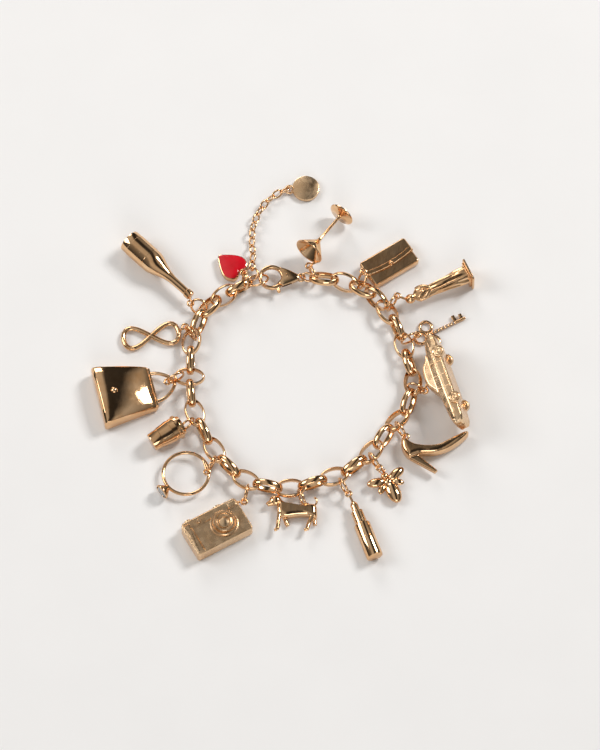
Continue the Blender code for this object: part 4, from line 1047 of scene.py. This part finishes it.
def car_pieces():
    half, end = CAR_WIDTH / 2, CAR_LENGTH
    axles = (CAR_REAR * end, CAR_REAR * end + WHEELBASE)
    rows = (
        (0, 0.5, -0.5, 1.1), (0.01, 0.64, -0.9, 1.4), (0.06, 0.8, -1.45, 1.9), (0.15, 0.92, -1.85, 2.1),
        (0.23, 0.97, -2.1, 2.2), (0.42, 0.99, -2.2, 2.2), (0.6, 1, -2.2, 2.2), (0.78, 0.98, -1.9, 2.2),
        (0.88, 0.95, -1.65, 2.1), (0.93, 0.9, -1.45, 2), (0.975, 0.8, -1.05, 1.6),
        (0.985, 0.68, -0.7, 1.3),
    )
    body = loft([car_section(share, wide * half, *heights) for share, wide, *heights in rows])
    wide = 0.78 * half
    levels = [(-1, -0.75), (-0.9, -0.35), (-0.6, 0), (0.6, 0), (0.9, -0.35), (1, -0.75)]
    cabin = slab(rounded(scaled(CAR_CABIN, end), 3), [(share * wide, by) for share, by in levels])
    profile = [(-0.7, 0), (-0.7, 0.24), (-0.56, 0.34), (-0.48, 0.45), (-0.48, 0.62)]
    profile += [(-0.62, 0.74), (-0.62, 0.9), (-0.48, 1.02), (-0.48, 1.14), (-0.66, 1.26)]
    profile += [(-0.72, 1.4), (-0.64, 1.55), (-0.45, WHEEL_RADIUS)]
    wheel = revolve(profile + [(-x, radius) for x, radius in reversed(profile)], 56)
    lines = [
        (0.2, 12, (0.30, 1.75, 1), (0.45, 1.8, 1), (0.62, 1.75, 1)),
        (0.13, 10, (0.1, -0.2, 0.93), (0.45, -0.45, 1), (0.93, -0.2, 0.9)),
    ]
    lines += [(0.07, 8, (x, -2.2, 0.99), (x, 0.2, 1), (x, 1.6, 1)) for x in (0.33, 0.47, 0.60)]
    trims, wheels = [], []
    for side in (-half, half):
        for radius, sides, *path in lines:
            trims.append(tube([(x * end, y, share * side) for x, y, share in path], radius, sides))
        trims.append(ball(0.78, 0.955 * end, -0.35, 0.68 * side))
        z = side - math.copysign(0.35, side)
        wheels += [placed(wheel, x, WHEEL_RADIUS, z, pitch=-90) for x in axles]
    front = [(0.955, 0.9, -0.84), (0.975, 0.95, -0.4), (0.978, 0.95, 0.4), (0.955, 0.9, 0.84)]
    back = [(0.035, 1.0, -0.64), (0.02, 1.0, 0), (0.035, 1.0, 0.64)]
    for path, radius in ((front, 0.42), (back, 0.4)):
        trims.append(bent([(x * end, y, share * half) for x, y, share in path], radius, 16))
    trims.append(box(0.965 * end, 0.994 * end, -0.5, 0.5, -0.42 * half, 0.42 * half))
    high, inner = WHEEL_RADIUS + 0.1, half - 0.6
    bars = [rod((x, high, -inner), (x, high, inner), 0.4, 0.4, 16) for x in axles]
    return [
        ("body", all_of(body, cabin, *bars), SATIN, {"voxel": 0.1, "smooth": 9}),
        ("trim", all_of(*trims), SATIN, {}), ("wheels", all_of(*wheels), SATIN, {"angle": 50}),
    ]


def shoe_pieces():
    thick = SHOE_THICKNESS
    side, heel, gap = (scaled(outline, SHOE_LENGTH) for outline in (SHOE_SIDE, SHOE_HEEL, SHOE_OPENING))
    heel_part = slab(heel, [(thick * 0.3, -0.2), (thick * 0.38, 0), (thick * 0.62, 0), (thick * 0.7, -0.2)])
    sole = slab(rounded(side, 3), cushion(thick, 1.25, 0.0, 6))
    opening = slab(rounded(gap, 3), [(thick * 0.22, 0), (thick * 0.78, 0)])
    return [("shoe", all_of(sole, heel_part), POLISHED, {"voxel": 0.11, "smooth": 8, "cuts": [opening]})]


def bee_pieces():
    shapes = [
        ball(1.9, 5.0, 0, 0, 44, 24, (1.72, 1.0, 0.72)),
        ball(1.3, 2.1, 0, 0, 32, 18, (1.0, 1.0, 0.9)),
        ball(0.98, 0.0, 0, 0, stretch=(1.0, 1.1, 0.9)),
    ]
    shapes += [ball(0.24, -0.35, y, 0.55, 14, 8) for y in (0.55, -0.55)]
    feeler = [(-0.6, 0.3, 0.3), (-1.1, 0.5, 0.55), (-1.65, 0.9, 0.5)]
    shapes += [bent([(x, side * y, z) for x, y, z in feeler], 0.15, 12) for side in (1, -1)]
    wings = []
    for side in (-1, 1):
        for x, y, length, heading, wide in ((1.5, 0.5, 5.0, 104, 1.3), (2.2, 1.2, 3.1, 50, 0.9)):
            wing = ball(length / 2, length / 2, 0, 0.5, 36, 20, (1.0, wide / (length / 2), 0.4))
            wings.append(placed(wing, x, side * y, 0, side * heading))
    return [("body", all_of(*shapes), POLISHED, {}), ("wings", all_of(*wings), POLISHED, {})]


def lipstick_pieces():
    end = LIPSTICK_LENGTH
    profile = [
        (0, 0), (0.02, 0.3), (0.2, 0.62), (0.9, 1.02), (1.4, 1.07), (3, 1.08), (3, 1.5), (3.1, 1.6),
        (6.85, 1.6), (6.9, 2.05), (7, 2.16), (7.2, 2.2), (10.9, 2.2), (11, 2.13), (11.1, 2.2),
        (end - 0.3, 2.2), (end - 0.08, 2.12), (end, 1.95), (end, 0),
    ]
    return [("tube", revolve(profile), POLISHED, {"angle": 30})]


def dog_pieces():
    body = rounded(scaled(DOG_BODY, DOG_LENGTH), 3)
    shapes = [
        slab(body, cushion(3.1, 1.15, 0.0, 6)),
        ball(1.42, -0.2, -0.1, 1.7, stretch=(1.15, 1.0, 0.85)),
        rod((-0.6, -0.5, 1.6), (-2.4, -1.15, 1.6), 0.95, 0.62, 20),
        ball(0.28, -2.45, -1.0, 1.7, 14, 8),
        ball(0.5, 0.6, 0.9, 2.1, 16, 10, (0.7, 1.4, 0.6)),
        rod((0.6, 0.5, 2.2), (1.5, -1.6, 2.6), 0.45, 0.3, 16),
        bent([(9.8, -1.6, 1.6), (10.5, -0.9, 1.8), (10.5, 0.2, 1.9), (9.9, 0.7, 1.9)], 0.3, 14),
        bent([(0.9, -3.4, 2.3), (0.6, -5.6, 2.35), (0.45, -7.2, 2.3), (0.2, -8.6, 2.3)], 0.55, 18),
        bent([(2.2, -3.6, 0.9), (2.3, -5.2, 0.8), (3.0, -7.0, 0.7)], 0.55, 18),
        bent([(8.9, -3.4, 2.2), (9.3, -5.0, 2.2), (8.6, -6.6, 2.2), (8.0, -8.7, 2.3)], 0.58, 18),
        bent([(9.3, -3.2, 0.9), (9.9, -5.0, 0.8), (10.1, -6.8, 0.7)], 0.55, 18),
        ball(1.0, 9.0, -3.2, 2.0, 24, 14, (1.0, 1.5, 0.8)),
        ball(1.0, 1.1, -3.0, 2.0, 24, 14, (0.9, 1.4, 0.8)),
    ]
    shapes += [rod((x, -8.55, 2.3), (x - 0.8, -8.8, 2.3), 0.48, 0.4, 16) for x in (0.2, 8.0)]
    return [("dog", all_of(*shapes), POLISHED, {"voxel": 0.1, "smooth": 6})]


def camera_pieces():
    b, depth, rim = CAMERA_WIDTH / 2, CAMERA_DEPTH, LENS_RADIUS
    body = soft_rectangle(CAMERA_LENGTH, CAMERA_WIDTH * 0.94, 0.5, 0, -0.25)
    plate = soft_rectangle(CAMERA_LENGTH * 0.97, CAMERA_WIDTH * 0.26, 0.5, 0, b * 0.72)
    rows = [(-0.6, 0), (-0.6, rim + 0.05), (0.05, rim + 0.05), (0.1, rim - 0.12), (0.5, rim - 0.12)]
    rows += [(0.62, rim - 0.25), (0.62, rim - 0.55), (0.5, rim - 0.62), (0.5, 2.95), (1.5, 2.85), (1.68, 2.7)]
    rows += [(1.68, 2.3), (1.4, 2.15), (1.15, 1.75), (1.3, 1.6), (1.3, 1.35), (1.1, 1.25)]
    rows += [(1.25, 0.6), (1.3, 0)]
    lens = revolve([(depth + up, radius) for up, radius in rows], 96)
    grip = slab(
        soft_rectangle(2.3, CAMERA_WIDTH * 0.9, 0.3, -6.9, -0.3),
        [(depth - 0.9, 0), (depth + 0.1, 0), (depth + 0.55, -0.6)],
    )
    finder = all_of(
        slab(soft_rectangle(2.4, 1.7, 0.2, 6.4, b * 0.68), [(depth - 0.5, 0), (depth + 0.55, -0.1)]),
        slab(soft_rectangle(1.5, 1.0, 0.2, 6.4, b * 0.68), [(depth - 0.5, 0), (depth + 0.6, 0)]),
    )
    buttons = [button(0.58, depth - 0.3, depth + 0.75, -3.4, b * 0.66, 32, 0.12)]
    for x, rise, radius in ((-5.6, 0.72, 0.88), (3.0, 0.52, 1.22)):
        buttons.append(rod((x, b - 0.5, depth / 2), (x, b + rise, depth / 2), radius, radius, 36))
    body_levels = [(0, -0.3), (0.3, 0), (depth - 0.35, 0), (depth - 0.1, -0.2)]
    plate_levels = [(0.3, -0.2), (0.6, 0), (depth - 0.1, 0), (depth + 0.22, -0.3)]
    return [
        ("body", slab(body, body_levels), SATIN, {"bevel": 0.15, "rings": 3}),
        ("plate", slab(plate, plate_levels), SATIN, {"bevel": 0.1}),
        ("lens", upright(lens, 2.1, -0.3), SATIN, {"angle": 25}),
        ("grip", grip, SATIN, {"bevel": 0.1, "rings": 3}), ("finder", finder, SATIN, {"bevel": 0.08}),
        ("buttons", all_of(*buttons), SATIN, {"angle": 30}),
    ]


def stone_seat():
    return place(FINGER_RING / 2 + SEAT_RISE)


def ring_pieces():
    cup = [
        (-2, 0), (-2, 0.55), (-1.7, 0.68), (-0.1, STONE_RADIUS + 0.18), (0.1, STONE_RADIUS + 0.23),
        (0.3, STONE_RADIUS + 0.2), (0.42, STONE_RADIUS - 0.02), (0.3, STONE_RADIUS - 0.1),
        (-0.02, STONE_RADIUS - 0.02), (-1.35, 0.35), (-1.5, 0),
    ]
    shank = wire_ring(FINGER_RING / 2 - FINGER_WIRE, FINGER_WIRE - 0.01, 128, 20)
    return [("shank", all_of(shank, moved(revolve(cup, 64), stone_seat())), POLISHED, {})]


def cup_pieces():
    wide, narrow, end = CUP_WIDE / 2, CUP_NARROW / 2, CUP_LENGTH
    profile = [
        (0, 0), (0.0, wide * 0.74), (0.12, wide * 0.79), (0.8, wide * 0.84), (0.9, wide * 0.95),
        (1.05, wide * 0.99), (1.25, wide), (1.7, wide), (1.85, wide * 0.97), (1.95, wide * 0.92),
        (3.3, wide * 0.89), (3.36, wide * 0.925), (6.6, narrow * 1.09), (6.66, narrow * 1.04),
        (end - 0.25, narrow * 0.97), (end - 0.05, narrow * 0.94), (end, narrow * 0.88), (end, 0),
    ]
    return [("cup", revolve(profile), POLISHED, {"angle": 25})]


def bag_section(x, half, depth):
    ease = min(0.8, depth * 0.25)
    rows = [(-half, 0.45), (-half, 0.62), (-half + 0.3, 0.78), (-half * 0.86, 0.87), (-half * 0.62, 0.945)]
    rows += [(-half * 0.32, 0.985), (0, 1.0)]
    rim = [(y, z * depth) for y, z in rows] + [(-y, z * depth) for y, z in reversed(rows[:-1])]
    rim += [(half, ease), (half - ease, 0.02), (-half + ease, 0.02), (-half, ease)]
    return [Vector((x, y, z)) for y, z in rim]


def handbag_pieces():
    top, base, high = BAG_TOP / 2, BAG_BASE / 2, BAG_HEIGHT
    rows = (
        (0, 0.96, 0.34), (0.015, 0.985, 0.42), (0.04, 1, 0.5), (0.12, 1, 0.6), (0.24, 1, 0.71),
        (0.38, 1, 0.81), (0.52, 1, 0.885), (0.66, 1, 0.94), (0.78, 1, 0.975), (0.88, 1, 0.99),
        (0.95, 0.995, 0.95), (0.985, 0.975, 0.86), (0.998, 0.94, 0.74),
    )
    sections = []
    for share, wide, deep in rows:
        sections.append(bag_section(share * high, (top + (base - top) * share) * wide, BAG_DEPTH * deep))
    side = [(0.8, 4.2, 1.6), (-1.6, 3.9, 1.7), (-3.6, 2.9, 1.8), (-5.2, 1.4, 2.0)]
    handle = side + [(-5.75, 0.0, 2.0)] + [(x, -y, z) for x, y, z in reversed(side)]
    front = BAG_DEPTH - 0.05
    stud = all_of(
        ball(0.85, high * 0.7, 0, front - 0.35, 32, 18, (1, 1, 0.7)),
        button(1.0, front - 1.6, front - 0.35, high * 0.7, 0, 32, 0.15),
    )
    return [
        ("body", loft(sections), POLISHED, {"bevel": 0.12, "rings": 3}),
        ("handle", bent(handle, 0.47, 16), POLISHED, {}),
        ("frame", box(-0.3, 0.55, -0.9 * top, 0.9 * top, 0.5, 2.25), POLISHED, {"bevel": 0.2, "rings": 3}),
        ("stud", stud, POLISHED, {}),
    ]


def infinity_pieces():
    half, wide = INFINITY_LENGTH / 2 - INFINITY_WIRE, INFINITY_WIDTH / 2 - INFINITY_WIRE
    shapes = []
    for first in (-6, 174):
        angles = [math.radians(first + 192 * i / 60) for i in range(61)]
        for z, radius, sides in ((0, INFINITY_WIRE, 18), (INFINITY_WIRE * 0.82, 0.16, 10)):
            path = [(half * math.cos(t), wide * math.sin(2 * t), z) for t in angles]
            shapes.append(tube(path, radius, sides))
    return [("bars", all_of(*shapes), POLISHED, {})]


def bottle_pieces():
    wide, end = BOTTLE_WIDTH / 2, BOTTLE_LENGTH
    profile = [
        (0, 0), (0, 1.05), (0.08, 1.22), (0.25, 1.28), (1.5, 1.28), (1.62, 1.2), (1.75, 1.02), (4.5, 1.06),
        (7, 1.14), (8.4, 1.34), (9.6, 1.66), (11, 2.15), (12.2, 2.65), (13.2, 2.98), (14.0, wide - 0.1),
        (15.0, wide - 0.07), (15.6, wide - 0.07), (15.68, wide - 0.01), (21.2, wide - 0.01),
        (21.28, wide - 0.07), (end - 0.5, wide - 0.1), (end - 0.15, wide - 0.22), (end, wide - 0.5),
        (end, 0),
    ]
    return [("bottle", revolve(profile, 96), POLISHED, {"angle": 30})]


def domed(outline, rows):
    """An outline made solid through rows of (height, share of its size), each about its middle."""
    centre = sum((Vector(point) for point in outline), Vector((0, 0))) / len(outline)
    sections = []
    for z, share in rows:
        rim = [centre + (Vector(point) - centre) * share for point in outline]
        sections.append([Vector((point.x, point.y, z)) for point in rim])
    return loft(sections)


def heart_pieces():
    deep = HEART_DEPTH
    rim = rounded(scaled(HEART_RIM, HEART_LENGTH))
    levels = [(0, -0.45), (0.12, -0.2), (0.4, -0.03)]
    levels += [(deep - 0.4, -0.03), (deep - 0.12, -0.12), (deep - 0.02, -0.3)]
    pocket = domed(rim, [(deep * 0.5, 0.85), (deep + 1.0, 0.85)])
    return [("rim", slab(rim, levels), CHAIN, {"cuts": [pocket]})]


def enamel_dome():
    top = HEART_DEPTH
    rows = [(top * 0.5 + ENAMEL_GAP, 0.83)]
    over = [(-0.05, 0.83), (0, 0.93), (0.1, 0.92), (0.18, 0.86)]
    over += [(0.24, 0.75), (0.28, 0.58), (0.3, 0.36), (0.31, 0.12)]
    rows += [(top + up, share) for up, share in over]
    return domed(rounded(scaled(HEART_RIM, HEART_LENGTH)), rows)


PIECES = {
    "martini_glass": glass_pieces,
    "clutch": clutch_pieces,
    "figure": figure_pieces,
    "key": key_pieces,
    "car": car_pieces,
    "shoe": shoe_pieces,
    "bee": bee_pieces,
    "lipstick": lipstick_pieces,
    "dog": dog_pieces,
    "camera": camera_pieces,
    "ring": ring_pieces,
    "cup": cup_pieces,
    "handbag": handbag_pieces,
    "infinity": infinity_pieces,
    "bottle": bottle_pieces,
    "heart": heart_pieces,
}


def dress_charm(name, frames):
    at = place(*SPOTS[name])
    for part_name, shape, look, how in PIECES[name]():
        how["cuts"] = [moved(cutter, at) for cutter in how.get("cuts", ())]
        piece(f"{name}_{part_name}", moved(shape, at), look, at, **how)
    ring = hung_ring(name, frames)
    piece(name + "_jump_ring", ring, CHAIN, ring_frame(HANGS[name], frames), "charm_" + name)


def dress_stones():
    at = place(*SPOTS["ring"]) @ stone_seat()
    size = STONE_RADIUS - STONE_GAP
    profile = [(-1.1, 0), (-0.02, size), (0.08, size), (0.4, size * 0.8), (0.62, size * 0.56), (0.62, 0)]
    piece("ring_gem", moved(revolve(profile, 16), at), STONE, at, "ring_stone", "clear_stone", angle=5)
    at = place(*SPOTS["heart"])
    piece("heart_dome", moved(enamel_dome(), at), ENAMEL, at, "heart_enamel", "red_enamel")


# The table, the lights and the camera.

VIEW_X, VIEW_Y = 4.2, -2.9
VIEW_DOWN = 65.0
LENS = 400.0
SEEN_HEIGHT = 198.0
SENSOR = 36.0
TABLE_REACH = 1.5
LIGHTS = [
    # name, x, y, z in metres from the middle, side in metres, watts, warmth
    ("left_box", -1.0, 0.2, 0.75, 0.6, 6.0, (1.0, 0.985, 0.97)),
    ("right_box", 0.9, 0.6, 1.05, 0.42, 12.5, (1.0, 0.985, 0.97)),
    ("front_box", 0.1, -1.2, 0.6, 0.6, 3.4, (1.0, 0.99, 0.98)),
    ("back_box", -0.35, 1.2, 0.65, 0.5, 3.6, (1.0, 0.99, 0.98)),
]


# How bright the room is from left to right, and from the table's level up to the ceiling.
ROOM = 0.75
ROOM_ACROSS = [(0.0, 0.12), (0.2, 0.3), (0.3, 0.85), (0.46, 0.75), (0.52, 0.06)]
ROOM_ACROSS += [(0.63, 0.04), (0.72, 0.65), (0.85, 0.3), (1.0, 0.1)]
ROOM_UP = [(0.0, 0.25), (0.3, 0.7), (0.7, 1.0), (1.0, 0.8)]


def shades(tree, value, rows):
    """A grey ramp through rows of (place, brightness), a little warm."""
    made = tree.nodes.new("ShaderNodeValToRGB")
    marks = made.color_ramp.elements
    while len(marks) < len(rows):
        marks.new(0.5)
    for mark, (spot, bright) in zip(marks, rows):
        mark.position = spot
        mark.color = (bright, bright * 0.985, bright * 0.965, 1)
    tree.links.new(value, made.inputs["Fac"])
    return made.outputs["Color"]


def set_stage():
    span = TABLE_REACH
    corners = [(-span, -span, 0), (span, -span, 0), (span, span, 0), (-span, span, 0)]
    mesh = bpy.data.meshes.new("table_top")
    mesh.from_pydata(corners, [], [(0, 1, 2, 3)])
    mesh.materials.append(pale_table())
    table = add_object("table_top", mesh)


def set_lights():
    for name, x, y, z, side, watts, warmth in LIGHTS:
        lamp = bpy.data.lights.new(name, "AREA")
        lamp.shape = "SQUARE"
        lamp.size = side
        lamp.energy = watts
        lamp.color = warmth
        made = add_object(name, lamp)
        made.location = (x, y, z)
        made.rotation_euler = (-Vector((x, y, z))).to_track_quat("-Z", "Y").to_euler()


def set_room():
    """The room's own light, brighter on the left than on the right and towards the ceiling."""
    world = bpy.data.worlds.new("studio")
    world.use_nodes = True
    tree = world.node_tree
    back = tree.nodes["Background"]
    way = tree.nodes.new("ShaderNodeTexCoord")
    split = tree.nodes.new("ShaderNodeSeparateXYZ")
    tree.links.new(way.outputs["Generated"], split.inputs["Vector"])
    half = tree.nodes.new("ShaderNodeMath")
    half.operation = "MULTIPLY_ADD"
    half.inputs[1].default_value = 0.5
    half.inputs[2].default_value = 0.5
    tree.links.new(split.outputs["X"], half.inputs[0])
    across = shades(tree, half.outputs["Value"], ROOM_ACROSS)
    up = shades(tree, split.outputs["Z"], ROOM_UP)
    both = tree.nodes.new("ShaderNodeMix")
    both.data_type = "RGBA"
    both.blend_type = "MULTIPLY"
    both.inputs["Factor"].default_value = 1.0
    tree.links.new(across, both.inputs["A"])
    tree.links.new(up, both.inputs["B"])
    tree.links.new(both.outputs["Result"], back.inputs["Color"])
    back.inputs["Strength"].default_value = ROOM
    bpy.context.scene.world = world
    bpy.context.scene.view_settings.view_transform = "Standard"


def set_camera():
    eye = bpy.data.cameras.new("view")
    eye.lens = LENS
    eye.sensor_width = SENSOR
    eye.clip_start = 0.01
    made = add_object("view", eye)
    target = (Vector((VIEW_X, VIEW_Y, 0)) + OFFSET) * MM
    reach = LENS * SEEN_HEIGHT / SENSOR * MM
    down = math.radians(VIEW_DOWN)
    made.location = target + Vector((0, -math.cos(down), math.sin(down))) * reach
    made.rotation_euler = (math.radians(90) - down, 0, 0)
    bpy.context.scene.camera = made


def main():
    frames = link_frames()
    dress_chain(frames)
    dress_rings()
    dress_extender()
    dress_clasp()
    for name in PIECES:
        dress_charm(name, frames)
    dress_stones()
    set_stage()
    set_lights()
    set_room()
    set_camera()


main()
